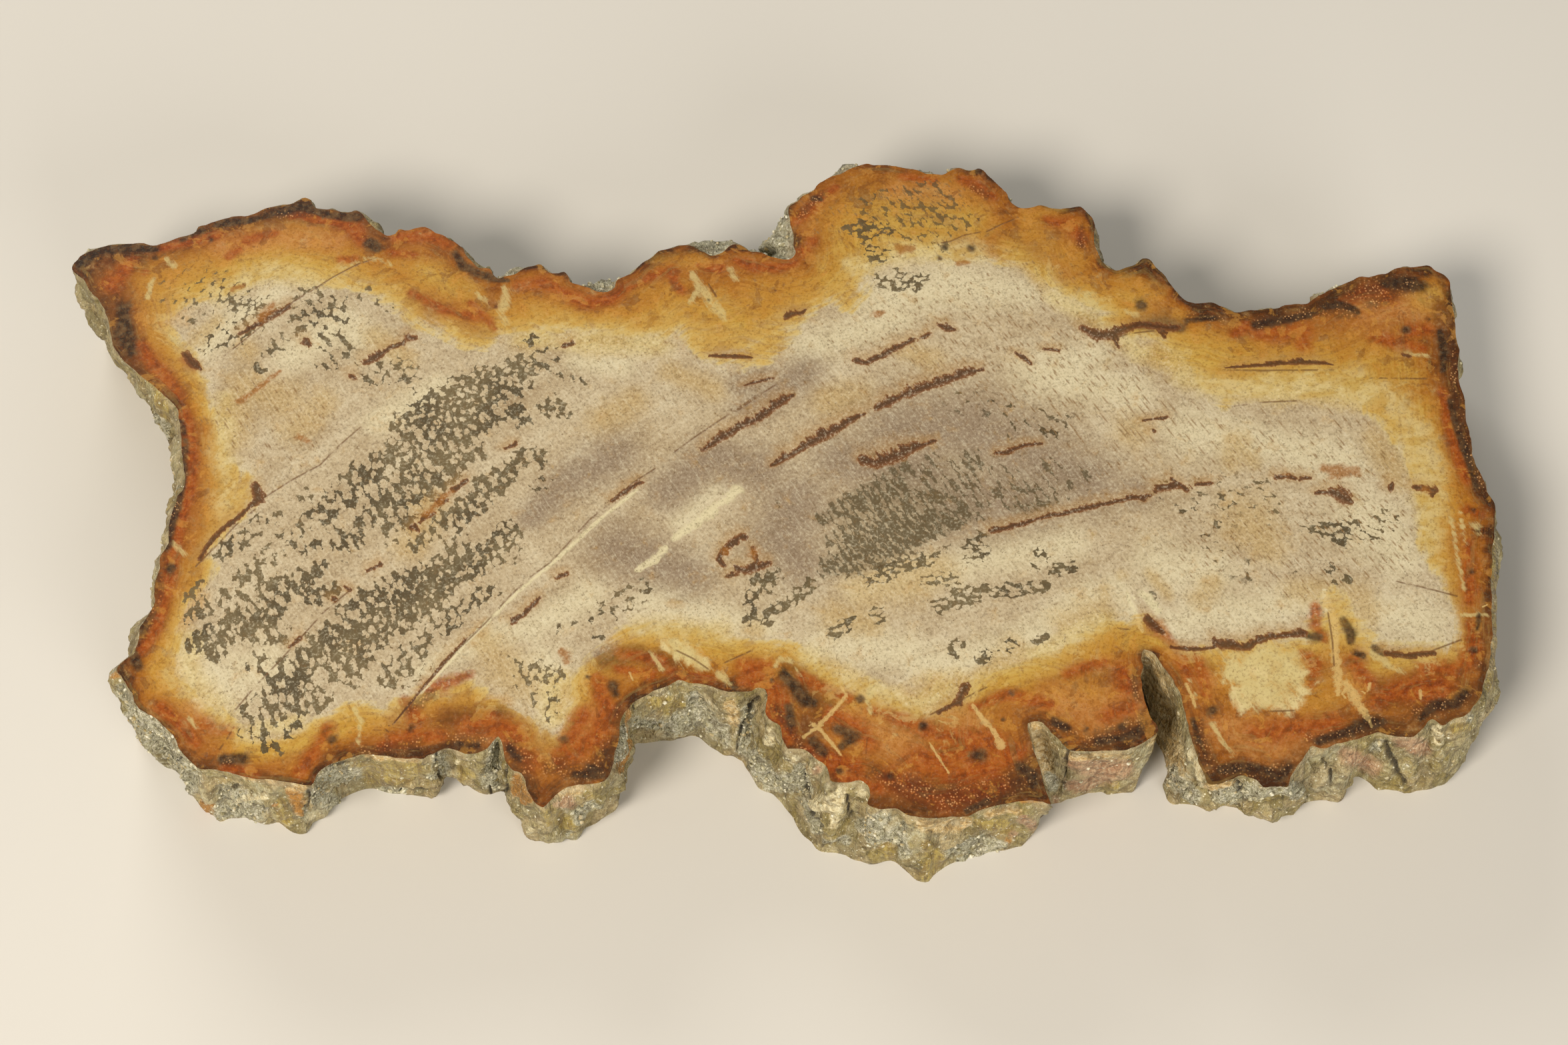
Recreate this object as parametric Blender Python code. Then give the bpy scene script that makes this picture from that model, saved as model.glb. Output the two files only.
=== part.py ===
"""Polished slice of petrified wood: a flat-sawn slab with a ragged, broken outline.

Metres, +Z up. The slab lies on its sawn back at z = 0, polished face up, with its origin
at the middle of the underside of its bounding box. Outline points are in millimetres,
measured on the polished face from a point near its middle, +X right and +Y to the back.
"""

import math

import bmesh
import bpy
from mathutils import Vector, noise
from mathutils.geometry import delaunay_2d_cdt

MM = 0.001
THICKNESS = 25.0          # mm, sawn back to polished face
STATION_STEP = 2.4        # mm, widest spacing of wall columns along the rim
STATION_MERGE = 0.8       # mm, columns closer than this become one
RING_DEPTHS = (0.0, 0.05, 0.2, 0.38, 0.58, 0.78, 0.95, 1.0)   # rim to foot
EDGE_ROUNDING = 0.35      # mm, outward roll of the wall just under the rim
BELLY_RISE = 0.6          # under 1 lifts the fullest part of a bulge towards the rim
SPREAD = 2                # columns each side that share a wall direction
WOBBLE = {"height": 0.22, "along": 0.8}                    # chipped line of both sawn edges

FLUTES = {"height": 1.3, "along": 0.36, "down": 0.035}     # grain runs through the thickness
LUMPS = {"height": 1.9, "along": 0.12, "down": 0.12}
LEDGES = {"height": 1.5, "along": 0.05, "down": 0.31}
PITS = {"height": 4.5, "along": 0.21, "down": 0.19, "level": 0.3}
BACK_DRIFT = {"height": 1.4, "along": 0.05}                # foot against rim, unseen back

FINISH = {"color": (0.56, 0.41, 0.22, 1.0), "roughness": 0.42, "metallic": 0.0}

# The outline runs clockwise seen from above, from the left tip. A stretch ends where the
# next begins. "foot" is the edge of the sawn back under "rim". Where "foot" is missing the
# back edge follows the rim, offset at the stretch's start by "lean". "relief" scales the
# roughness of the wall and "belly" is how far it bulges past the straight wall in mm.
STRETCHES = [
    {"name": "left hump", "lean": (1.3, 0.2), "belly": 0.4, "rim": [
        (-126.7, 51.4), (-126.0, 52.8), (-125.2, 53.9), (-123.5, 54.9), (-121.8, 55.6),
        (-120.0, 56.1), (-117.2, 56.3), (-114.3, 56.5), (-112.6, 56.0), (-110.1, 56.7),
        (-108.8, 57.5), (-106.2, 58.2), (-105.2, 59.1), (-104.9, 60.0), (-103.7, 60.5),
        (-101.4, 61.2), (-99.7, 62.0), (-98.0, 62.3), (-96.2, 62.4), (-94.5, 63.2),
        (-93.1, 63.9), (-91.1, 64.6), (-88.7, 65.0), (-87.6, 65.5), (-86.2, 66.3),
        (-85.2, 65.7), (-84.6, 64.5), (-84.0, 64.0), (-81.5, 63.7), (-78.2, 63.1),
        (-76.8, 63.5), (-75.9, 63.0), (-75.1, 61.8), (-73.9, 60.3), (-72.6, 59.1)]},
    {"name": "second hump", "lean": (0.2, 0.9), "belly": 0.3, "rim": [
        (-71.0, 58.2), (-69.5, 58.4), (-69.0, 59.4), (-67.2, 59.3), (-64.8, 60.1),
        (-63.5, 59.6), (-62.3, 58.6), (-60.9, 58.2), (-59.5, 57.1), (-58.0, 56.0),
        (-57.0, 55.1), (-56.6, 53.7), (-55.4, 52.6), (-54.3, 51.4), (-52.3, 51.1),
        (-51.7, 50.0)]},
    {"name": "back bay", "lean": (0.6, -0.8), "belly": 0.5, "rim": [
        (-50.7, 49.1), (-49.6, 49.4), (-47.8, 50.0), (-46.0, 51.4), (-44.6, 51.7),
        (-43.1, 52.0), (-42.4, 51.0), (-41.6, 50.2), (-40.0, 50.1), (-39.1, 50.4),
        (-38.3, 49.6), (-38.0, 48.4), (-36.3, 47.7), (-34.5, 47.2), (-32.7, 46.3),
        (-31.2, 46.2), (-30.0, 47.2), (-29.8, 48.4), (-28.3, 49.4), (-26.8, 50.3),
        (-25.7, 51.8), (-24.2, 53.0), (-22.4, 54.9), (-20.4, 55.3), (-18.2, 56.1)]},
    {"name": "bay right side", "lean": (-0.5, -0.9), "belly": 0.4, "rim": [
        (-16.7, 56.0), (-14.8, 54.9), (-12.8, 53.7), (-10.9, 54.6), (-9.2, 56.2),
        (-7.7, 56.1), (-6.8, 55.4), (-5.7, 54.6), (-3.8, 54.5), (-3.5, 54.1),
        (-1.6, 53.4), (0.1, 53.1), (1.6, 53.5), (2.1, 54.5), (1.8, 56.3), (1.5, 58.4),
        (1.2, 60.6), (0.9, 62.4)]},
    {"name": "back lobe", "lean": (-1.0, 0.3), "belly": 0.3, "rim": [
        (0.8, 64.2), (1.5, 64.8), (2.9, 65.9), (3.3, 66.7), (4.4, 67.2), (5.5, 67.9),
        (6.2, 69.1), (7.5, 70.2), (9.0, 71.0), (10.2, 71.4), (12.0, 72.6), (13.6, 73.3),
        (14.9, 73.6), (16.3, 73.3), (18.1, 73.4), (20.2, 73.1), (22.1, 72.6), (23.9, 72.3),
        (25.7, 71.5), (27.3, 71.3), (28.7, 71.2), (30.2, 72.2), (31.8, 72.7), (33.5, 72.1),
        (35.6, 72.5), (36.5, 71.7), (37.5, 70.3), (38.8, 68.8), (40.0, 67.4), (40.5, 65.9)]},
    {"name": "back lobe right", "lean": (0.4, -0.6), "belly": 0.2, "rim": [
        (41.3, 64.8), (42.6, 64.1), (44.7, 64.2), (46.2, 64.6), (47.7, 64.1), (49.2, 63.7),
        (50.8, 64.1), (52.0, 64.4), (53.3, 64.2), (54.5, 63.0), (55.3, 61.9), (55.7, 60.3),
        (55.5, 58.5), (55.4, 56.3), (55.9, 54.5), (56.4, 52.8), (57.7, 51.3)]},
    {"name": "right saddle", "lean": (0.9, -0.4), "belly": 0.4, "rim": [
        (59.1, 50.7), (60.8, 51.4), (62.4, 52.0), (64.0, 53.3), (65.0, 53.1), (66.0, 51.5),
        (67.5, 49.9), (68.5, 47.8), (69.8, 45.7), (71.3, 44.3), (73.4, 43.9), (75.5, 44.1),
        (76.9, 43.4), (78.3, 42.5), (79.9, 42.0), (81.8, 42.5), (84.1, 42.5), (86.7, 42.8),
        (88.4, 43.5), (90.6, 43.7), (92.6, 43.8), (94.1, 45.1), (95.8, 46.0), (97.4, 47.0)]},
    {"name": "right horn", "lean": (-0.3, -1.0), "belly": 0.5, "rim": [
        (99.9, 48.2), (102.1, 49.4), (104.3, 49.5), (106.8, 50.0), (108.6, 51.0),
        (110.0, 51.4), (112.6, 51.5), (114.7, 51.6), (115.9, 50.7), (117.1, 49.7)]},
    {"name": "right side", "belly": 0.3, "rim": [
        (118.0, 48.2), (117.9, 46.6), (118.0, 44.1), (118.1, 41.5), (118.0, 39.5),
        (117.9, 36.9), (118.3, 34.3), (117.9, 32.1), (117.6, 29.8), (117.5, 27.9),
        (117.9, 26.0), (118.1, 23.4), (118.0, 20.6), (118.2, 18.4), (118.5, 15.9),
        (118.4, 14.0), (118.5, 11.9), (119.3, 9.5), (119.8, 7.7), (120.2, 5.5), (121.1, 3.7)],
     "foot": [
        (117.8, 47.0), (117.7, 40.0), (118.0, 33.0), (117.4, 27.0), (118.2, 19.0),
        (118.8, 12.0), (119.8, 7.0)]},
    {"name": "right side front", "belly": 1.2, "rim": [
        (121.2, 2.7), (120.8, 0.8), (120.5, -1.9), (120.0, -4.3), (119.4, -8.0),
        (118.8, -11.5), (118.6, -15.0), (118.2, -18.5), (118.0, -21.2), (117.4, -24.4),
        (116.9, -27.0), (115.5, -30.2), (114.9, -32.5), (113.2, -34.6)],
     "foot": [
        (120.8, 2.5), (120.6, -3.0), (120.3, -9.0), (120.2, -15.0), (120.1, -20.0),
        (119.9, -24.6), (118.9, -26.9), (117.8, -31.1), (117.2, -33.0), (115.5, -35.0)]},
    {"name": "right toe", "belly": 0.2, "rim": [
        (111.9, -36.0), (109.6, -36.7), (107.8, -38.1), (106.5, -36.6), (105.3, -37.5),
        (103.6, -39.6), (100.8, -39.9), (99.1, -39.6)],
     "foot": [
        (114.5, -36.3), (113.2, -37.5), (110.7, -38.3), (108.3, -38.8), (106.5, -39.1),
        (104.2, -38.6), (101.7, -38.5), (100.3, -37.2)]},
    {"name": "toe to tongue", "belly": 0.0, "relief": 0.7, "rim": [
        (97.2, -38.9), (95.8, -39.6), (94.0, -40.1), (91.7, -40.7), (90.0, -41.2),
        (88.3, -41.8)],
     "foot": [
        (98.1, -36.1), (96.8, -37.3), (96.0, -39.1), (95.0, -40.7), (92.3, -40.4),
        (90.4, -40.7)]},
    {"name": "tongue right side", "belly": 0.2, "relief": 0.7, "rim": [
        (86.0, -41.6), (85.5, -42.4), (84.4, -43.9), (83.2, -45.5), (82.4, -47.0)],
     "foot": [(88.4, -41.2), (86.8, -43.1)]},
    {"name": "tongue front", "belly": 0.5, "rim": [
        (81.9, -48.5), (79.9, -48.6), (77.7, -48.5), (77.0, -47.6), (75.8, -47.0),
        (74.4, -46.7), (72.4, -47.4), (71.0, -48.2)],
     "foot": [
        (84.4, -43.6), (82.7, -44.0), (80.9, -43.1), (79.1, -42.8), (77.8, -42.0),
        (75.1, -41.5), (73.7, -41.2), (72.3, -42.4), (70.4, -41.4), (68.1, -41.1)]},
    {"name": "slit right wall", "belly": 0.0, "relief": 0.25, "rim": [
        (68.8, -48.0), (68.4, -46.6), (67.8, -44.5), (67.1, -41.7), (66.5, -39.0),
        (66.1, -36.3), (65.8, -33.9), (65.3, -31.8), (64.3, -29.6), (63.2, -27.5),
        (62.0, -25.5), (60.9, -24.2)],
     "foot": [
        (66.4, -41.3), (65.2, -40.2), (64.9, -37.6), (65.8, -36.1), (65.9, -34.0),
        (65.2, -31.7), (64.4, -29.9), (63.2, -27.8), (62.0, -26.0), (61.1, -25.0)]},
    {"name": "slit left wall", "belly": 0.0, "relief": 0.25, "rim": [
        (59.9, -23.9), (59.4, -25.3), (59.4, -27.2), (59.0, -29.3), (59.3, -31.8),
        (59.7, -33.9), (60.3, -36.3), (61.3, -38.0)],
     "foot": [
        (60.2, -24.8), (59.7, -27.0), (59.4, -29.5), (59.4, -32.0), (59.4, -34.5),
        (59.6, -37.0)]},
    {"name": "square lobe", "belly": 0.1, "relief": 0.5, "rim": [
        (61.4, -38.6), (59.8, -40.2), (57.8, -41.4), (55.3, -42.2), (52.5, -42.3),
        (49.8, -42.3), (47.6, -42.3)],
     "foot": [
        (59.8, -38.8), (57.9, -39.2), (55.3, -39.5), (54.4, -38.9), (52.1, -39.2),
        (49.3, -40.1)]},
    {"name": "notch right wall", "belly": 0.0, "relief": 0.2, "rim": [
        (46.2, -42.0), (45.7, -41.4), (44.9, -40.2), (43.9, -39.0), (43.0, -37.9)],
     "foot": [(47.4, -40.7)]},
    {"name": "notch floor", "belly": 0.0, "relief": 0.2, "rim": [
        (42.4, -37.2), (40.8, -36.9)],
     "foot": [(46.2, -41.1), (45.6, -41.3)]},
    {"name": "notch left wall", "belly": 0.0, "relief": 0.2, "rim": [
        (40.1, -37.4), (40.1, -39.3), (40.7, -41.8), (41.5, -44.5), (42.0, -47.1),
        (42.6, -49.8)],
     "foot": [(45.0, -41.6), (44.4, -43.0), (43.3, -44.2), (43.0, -45.5)]},
    {"name": "big lobe front", "belly": 0.5, "rim": [
        (43.1, -51.6), (39.8, -50.9), (37.4, -51.4), (34.9, -51.7), (33.0, -52.3),
        (31.0, -53.1), (29.7, -53.8), (27.5, -53.9), (24.8, -54.1)],
     "foot": [
        (42.1, -46.9), (40.3, -48.8), (38.9, -49.3), (36.1, -49.8), (34.1, -50.1),
        (32.8, -50.9), (31.5, -50.6), (30.6, -51.9), (28.7, -51.6), (26.7, -53.0),
        (25.2, -54.3), (24.4, -55.2)]},
    {"name": "big lobe left", "belly": 0.2, "rim": [
        (22.0, -54.0), (19.8, -53.4), (18.1, -52.4), (16.5, -52.6), (14.9, -52.4)],
     "foot": [
        (22.5, -55.2), (21.7, -55.2), (21.1, -53.8), (20.1, -52.8), (18.7, -51.7),
        (17.0, -51.7), (15.6, -52.2)]},
    {"name": "step one", "belly": 0.3, "relief": 0.8, "rim": [
        (13.5, -51.5), (14.0, -50.1), (13.8, -48.3), (12.8, -47.7), (10.5, -47.8)],
     "foot": [(14.4, -52.1), (11.8, -51.3), (10.1, -50.6), (8.1, -50.0)]},
    {"name": "step two", "belly": 0.3, "relief": 0.8, "rim": [
        (8.4, -47.8), (7.5, -47.4), (7.3, -46.2), (6.5, -44.7), (5.1, -43.6), (3.7, -42.3)],
     "foot": [
        (6.4, -49.9), (5.1, -49.0), (4.2, -47.6), (2.9, -46.7), (2.2, -45.3),
        (1.5, -43.6)]},
    {"name": "step three", "belly": 0.3, "relief": 0.8, "rim": [
        (2.1, -41.8), (0.7, -41.8), (0.2, -41.1), (-0.3, -39.3), (-0.8, -37.8),
        (-2.0, -36.9), (-3.0, -35.7), (-2.9, -33.8), (-2.8, -32.3)],
     "foot": [
        (0.2, -41.9), (-1.0, -40.4), (-2.1, -39.3), (-4.1, -38.6), (-5.1, -37.0),
        (-6.1, -35.1)]},
    {"name": "front bay", "belly": 0.2, "relief": 0.9, "rim": [
        (-3.2, -31.1), (-4.3, -31.0), (-5.4, -31.6), (-7.1, -31.6), (-9.3, -31.7),
        (-10.7, -31.4), (-11.8, -30.8), (-13.2, -30.2), (-14.9, -30.2), (-16.3, -29.9),
        (-17.4, -29.4), (-18.5, -30.0), (-19.9, -30.9), (-21.5, -31.6), (-23.2, -32.5)],
     "foot": [
        (-7.1, -33.3), (-8.8, -32.3), (-10.2, -32.1), (-11.4, -31.3), (-12.9, -30.4),
        (-14.7, -28.8), (-15.9, -28.4), (-19.2, -29.3), (-23.2, -29.7)]},
    {"name": "left lobe right side", "belly": 0.2, "relief": 0.8, "rim": [
        (-24.6, -33.5), (-25.5, -34.6), (-26.8, -36.3), (-27.0, -38.1), (-27.0, -39.9),
        (-27.3, -41.7), (-27.8, -43.5), (-28.0, -45.3), (-28.5, -46.8)],
     "foot": [
        (-25.5, -30.0), (-26.4, -31.6), (-26.0, -32.9), (-26.8, -34.5), (-26.9, -37.1),
        (-27.8, -38.6), (-28.2, -40.7), (-28.7, -42.3), (-30.2, -43.3)]},
    {"name": "left lobe front", "belly": 0.4, "rim": [
        (-29.3, -47.7), (-31.2, -48.1), (-33.9, -48.4), (-35.8, -48.9), (-37.7, -50.7)],
     "foot": [
        (-32.1, -44.7), (-34.1, -45.9), (-34.7, -47.4), (-35.4, -47.7), (-37.1, -47.4),
        (-38.0, -48.2)]},
    {"name": "left lobe left side", "belly": 0.3, "relief": 0.8, "rim": [
        (-39.0, -52.1), (-40.6, -51.2), (-41.7, -49.0), (-42.2, -47.1), (-42.8, -46.2),
        (-44.2, -45.7), (-45.3, -44.4), (-45.8, -42.3), (-46.4, -40.2)],
     "foot": [
        (-39.3, -48.2), (-42.2, -47.9), (-43.3, -47.7), (-44.3, -46.3), (-44.7, -44.5),
        (-45.9, -43.2), (-47.1, -40.7)]},
    {"name": "small lobe", "belly": 0.2, "relief": 0.7, "rim": [
        (-46.8, -39.6), (-47.4, -40.1), (-48.2, -41.4), (-49.5, -42.4), (-51.4, -42.9),
        (-53.4, -42.3)],
     "foot": [
        (-47.9, -38.9), (-49.2, -39.0), (-50.7, -39.5), (-51.9, -39.0), (-53.4, -38.3),
        (-54.8, -37.0)]},
    {"name": "undercut", "belly": 0.0, "relief": 0.7, "rim": [
        (-55.3, -41.9), (-57.2, -42.7)],
     "foot": [(-55.7, -35.8), (-57.7, -36.0), (-58.6, -37.0), (-59.0, -38.6)]},
    {"name": "left front", "belly": 0.2, "rim": [
        (-58.8, -43.6), (-62.1, -43.6), (-64.9, -43.2), (-68.6, -42.8), (-70.2, -43.2),
        (-72.5, -44.1), (-74.4, -44.8), (-75.6, -46.0), (-76.4, -47.3)],
     "foot": [
        (-59.6, -40.0), (-61.6, -39.7), (-65.2, -39.2), (-67.6, -39.2), (-70.4, -38.3),
        (-72.5, -38.5), (-73.8, -39.3), (-75.7, -40.2), (-77.3, -42.1), (-78.9, -43.7),
        (-80.3, -44.5)]},
    {"name": "left heel front", "belly": 0.4, "rim": [
        (-76.8, -48.5), (-82.8, -47.4), (-85.7, -47.3), (-88.5, -46.6), (-91.0, -45.9),
        (-93.1, -45.6), (-95.3, -45.6)],
     "foot": [
        (-81.3, -46.6), (-82.9, -46.6), (-84.4, -45.7), (-86.0, -44.6), (-88.0, -45.0),
        (-89.7, -44.1), (-91.9, -43.7), (-94.6, -43.9)]},
    {"name": "left heel", "belly": 0.2, "relief": 0.8, "rim": [
        (-96.5, -44.4), (-98.5, -42.3), (-99.5, -40.3), (-101.4, -38.1), (-103.5, -36.1),
        (-105.2, -35.3), (-106.9, -34.1), (-107.5, -32.0), (-109.0, -29.9)],
     "foot": [
        (-96.0, -44.4), (-97.4, -42.8), (-99.6, -41.5), (-101.5, -39.1), (-102.9, -36.5),
        (-104.4, -35.1), (-106.6, -34.2), (-107.5, -32.9), (-109.6, -31.3),
        (-111.4, -29.2)]},
    {"name": "left side", "belly": 1.7, "rim": [
        (-110.4, -27.8), (-109.9, -26.4), (-108.9, -25.5), (-107.8, -24.5), (-107.5, -22.0),
        (-107.5, -19.9), (-106.5, -17.9), (-105.4, -15.9), (-105.6, -13.7), (-105.8, -11.0),
        (-105.1, -8.5), (-105.4, -6.7), (-104.6, -5.1), (-104.2, -3.9), (-104.4, -2.6),
        (-104.3, -0.7), (-104.3, 1.5), (-103.9, 3.4), (-103.4, 5.2), (-102.5, 6.6),
        (-102.6, 8.9), (-103.1, 11.1), (-103.5, 13.1), (-103.8, 15.0), (-104.2, 17.7),
        (-104.6, 20.0), (-105.1, 21.9), (-106.2, 23.6), (-107.8, 25.2)],
     "foot": [
        (-111.5, -28.0), (-110.9, -26.0), (-109.0, -23.5), (-108.0, -20.0), (-106.6, -16.0),
        (-106.2, -12.0), (-105.8, -8.0), (-105.2, -4.0), (-105.0, 0.0), (-104.6, 4.0),
        (-103.6, 8.0), (-103.9, 12.0), (-104.5, 16.0), (-105.2, 20.0), (-106.6, 24.0),
        (-108.4, 27.5)]},
    {"name": "left upper side", "belly": 0.0, "relief": 0.55, "rim": [
        (-109.9, 27.2), (-111.8, 28.7), (-113.7, 30.4), (-115.4, 32.1), (-117.3, 34.6),
        (-118.4, 37.7), (-118.7, 39.1), (-119.1, 40.8), (-119.9, 42.6), (-121.0, 44.5),
        (-122.6, 46.2), (-124.0, 48.5), (-125.9, 50.0)],
     "foot": [
        (-110.2, 30.0), (-110.7, 31.1), (-112.6, 32.8), (-114.2, 34.9), (-115.0, 36.8),
        (-117.0, 38.8), (-119.1, 40.9), (-119.7, 42.7), (-121.7, 45.0), (-123.4, 46.6),
        (-125.1, 49.5)]},
]

# Sediment that cemented itself to the wall below the polished face, and broken hollows.
# "toward" is the way it stands out, "reach" is how far, "width" how wide along the wall,
# "depth" its middle from rim (0) to foot (1), and "tall" its spread in that direction.
GROWTHS = [
    {"at": (-48.0, 50.2), "toward": (-0.2, 1.0), "reach": 3.4, "width": 2.6,
     "depth": 0.1, "tall": 0.2},
    {"at": (-32.0, 46.4), "toward": (0.0, 1.0), "reach": 4.6, "width": 3.0,
     "depth": 0.12, "tall": 0.2},
    {"at": (-12.7, 54.5), "toward": (0.0, 1.0), "reach": 6.4, "width": 3.2,
     "depth": 0.12, "tall": 0.2},
    {"at": (1.0, 55.5), "toward": (-0.85, 0.55), "reach": 7.0, "width": 6.0,
     "depth": 0.25, "tall": 0.4},
    {"at": (11.0, 71.8), "toward": (-0.2, 1.0), "reach": 2.2, "width": 2.6,
     "depth": 0.12, "tall": 0.2},
    {"at": (25.5, 71.5), "toward": (0.1, 1.0), "reach": 2.2, "width": 2.6,
     "depth": 0.12, "tall": 0.2},
    {"at": (58.5, 51.0), "toward": (0.5, 0.85), "reach": 2.4, "width": 4.5,
     "depth": 0.7, "tall": 0.25},
    {"at": (84.0, 42.5), "toward": (0.0, 1.0), "reach": 2.0, "width": 6.0,
     "depth": 0.62, "tall": 0.25},
    {"at": (-88.0, 65.0), "toward": (-0.2, 1.0), "reach": -1.8, "width": 7.0,
     "depth": 0.6, "tall": 0.28},
    {"at": (-107.5, 24.0), "toward": (-1.0, 0.0), "reach": 1.4, "width": 3.5,
     "depth": 0.35, "tall": 0.3},
    {"at": (-87.0, -46.5), "toward": (0.0, -1.0), "reach": 1.5, "width": 6.0,
     "depth": 0.6, "tall": 0.3},
    {"at": (9.0, -49.0), "toward": (-0.35, -0.9), "reach": 1.5, "width": 3.5,
     "depth": 0.45, "tall": 0.3},
    {"at": (35.0, -51.0), "toward": (0.0, -1.0), "reach": -1.6, "width": 5.5,
     "depth": 0.75, "tall": 0.16},
    {"at": (76.0, -45.0), "toward": (0.0, -1.0), "reach": 1.6, "width": 5.5,
     "depth": 0.7, "tall": 0.22},
    {"at": (92.0, -40.5), "toward": (0.3, -0.95), "reach": 1.3, "width": 3.0,
     "depth": 0.6, "tall": 0.4},
    {"at": (108.0, -38.0), "toward": (0.2, -1.0), "reach": 1.2, "width": 4.5,
     "depth": 0.7, "tall": 0.25},
    {"at": (119.5, 14.0), "toward": (1.0, 0.0), "reach": -1.5, "width": 8.0,
     "depth": 0.55, "tall": 0.25},
]


def travelled(points):
    """Share of the whole length reached at each point of an open line, 0 to 1."""
    reached = [0.0]
    for here, there in zip(points, points[1:]):
        reached.append(reached[-1] + (there - here).length)
    return [length / reached[-1] for length in reached]


def point_at(points, shares, share):
    """Point of an open line at a share of its length."""
    for index in range(len(points) - 1):
        if share <= shares[index + 1]:
            span = shares[index + 1] - shares[index]
            return points[index].lerp(points[index + 1], (share - shares[index]) / span)
    return points[-1].copy()


def column_shares(rim_shares, foot_shares, length):
    """Shares of a stretch where the wall gets a column: every point, and none too far apart."""
    wanted = sorted(rim_shares + [share for share in foot_shares if 0.0 < share < 1.0])
    kept = [0.0]
    for share in wanted[1:]:
        if (share - kept[-1]) * length >= STATION_MERGE:
            kept.append(share)
    if (1.0 - kept[-1]) * length < STATION_MERGE and len(kept) > 1:
        kept.pop()
    filled = []
    for here, there in zip(kept, kept[1:] + [1.0]):
        pieces = max(1, math.ceil((there - here) * length / STATION_STEP))
        filled += [here + (there - here) * step / pieces for step in range(pieces)]
    return filled


def first_foot(stretch):
    """Where the foot starts on a stretch, read or worked out from its lean."""
    if "foot" in stretch:
        return Vector(stretch["foot"][0])
    return Vector(stretch["rim"][0]) + Vector(stretch["lean"])


def unseen_foot(rim, start, end):
    """Foot of a stretch with no foot of its own: the rim, moved and gently wandering."""
    lean_start = start - rim[0]
    lean_end = end - rim[-1]
    foot = []
    for point, share in zip(rim, travelled(rim)):
        drift = noise.noise(Vector((point.x, point.y, 0.0)) * BACK_DRIFT["along"])
        fade = math.sin(math.pi * share)
        wander = Vector((0.3, 1.0)) * drift * fade * BACK_DRIFT["height"]
        foot.append(point + lean_start.lerp(lean_end, share) + wander)
    return foot


def wall_columns():
    """Every column of the wall: its rim and foot points, relief and belly."""
    columns = []
    for stretch, after in zip(STRETCHES, STRETCHES[1:] + STRETCHES[:1]):
        rim = [Vector(point) for point in stretch["rim"] + after["rim"][:1]]
        if "foot" in stretch:
            foot = [Vector(point) for point in stretch["foot"]] + [first_foot(after)]
        else:
            foot = unseen_foot(rim, first_foot(stretch), first_foot(after))
        rim_shares = travelled(rim)
        foot_shares = travelled(foot)
        length = sum((there - here).length for here, there in zip(rim, rim[1:]))
        for share in column_shares(rim_shares, foot_shares, length):
            columns.append({
                "rim": point_at(rim, rim_shares, share),
                "foot": point_at(foot, foot_shares, share),
                "relief": stretch.get("relief", 1.0),
                "belly": stretch["belly"],
            })
    return columns


def smoothed(values, reach):
    """Each value averaged with its neighbours round the closed outline."""
    count = len(values)
    result = []
    for index in range(count):
        total = sum(values[(index + step) % count] for step in range(-reach, reach + 1))
        result.append(total / (2 * reach + 1))
    return result


def outward(points, index):
    """Horizontal direction out of the solid at one column of a clockwise outline."""
    count = len(points)
    along = points[(index + SPREAD) % count] - points[(index - SPREAD) % count]
    return Vector((-along.y, along.x)).normalized()


def relief(place, height):
    """Roughness of the wall in mm at a point: flutes, lumps, ledges and pits."""
    def layer(kind):
        spot = Vector((place.x * kind["along"], place.y * kind["along"], height * kind["down"]))
        return noise.noise(spot + Vector((7.3, 1.9, 4.1)))

    total = sum(layer(kind) * kind["height"] for kind in (FLUTES, LUMPS, LEDGES))
    return total - max(0.0, layer(PITS) - PITS["level"]) * PITS["height"]


def growth(place, depth):
    """How far the sediment and the hollows move a wall point."""
    moved = Vector((0.0, 0.0))
    for lump in GROWTHS:
        away = (place - Vector(lump["at"])).length / lump["width"]
        down = (depth - lump["depth"]) / lump["tall"]
        moved += Vector(lump["toward"]).normalized() * lump["reach"] * math.exp(-away**2 - down**2)
    return moved


def wall_rings():
    """Rings of wall points from rim to foot, in mm, each with as many points as columns."""
    columns = wall_columns()
    strengths = smoothed([column["relief"] for column in columns], 4)
    bellies = smoothed([column["belly"] for column in columns], 4)
    rings = []
    for depth in RING_DEPTHS:
        straight = [column["rim"].lerp(column["foot"], depth) for column in columns]
        height = THICKNESS * (1.0 - depth)
        ring = []
        for index, place in enumerate(straight):
            out = outward(straight, index)
            chip = noise.noise(Vector((place.x, place.y, 0.0)) * WOBBLE["along"])
            place = place + out * chip * WOBBLE["height"]
            if 0.0 < depth < 1.0:
                hump = math.sin(math.pi * depth)
                rough = relief(place, height) * strengths[index] * hump**0.7
                rounding = EDGE_ROUNDING * strengths[index] * (1.0 - depth)
                bulge = bellies[index] * math.sin(math.pi * depth**BELLY_RISE)
                place = place + out * (rough + rounding + bulge)
                place = place + growth(straight[index], depth) * hump**0.35
            ring.append(Vector((place.x, place.y, height)))
        rings.append(ring)
    return rings


def cap_triangles(ring):
    """Triangles that fill a flat ring, as triples of its point numbers, seen from above."""
    count = len(ring)
    flat = [point.to_2d() for point in ring]
    sides = [(index, (index + 1) % count) for index in range(count)]
    inside_only = 1
    merge_distance = 1e-4
    filled = delaunay_2d_cdt(flat, sides, [], inside_only, merge_distance)
    triangles, sources = filled[2], filled[3]
    return [[sources[corner][0] for corner in triangle] for triangle in triangles]


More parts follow.
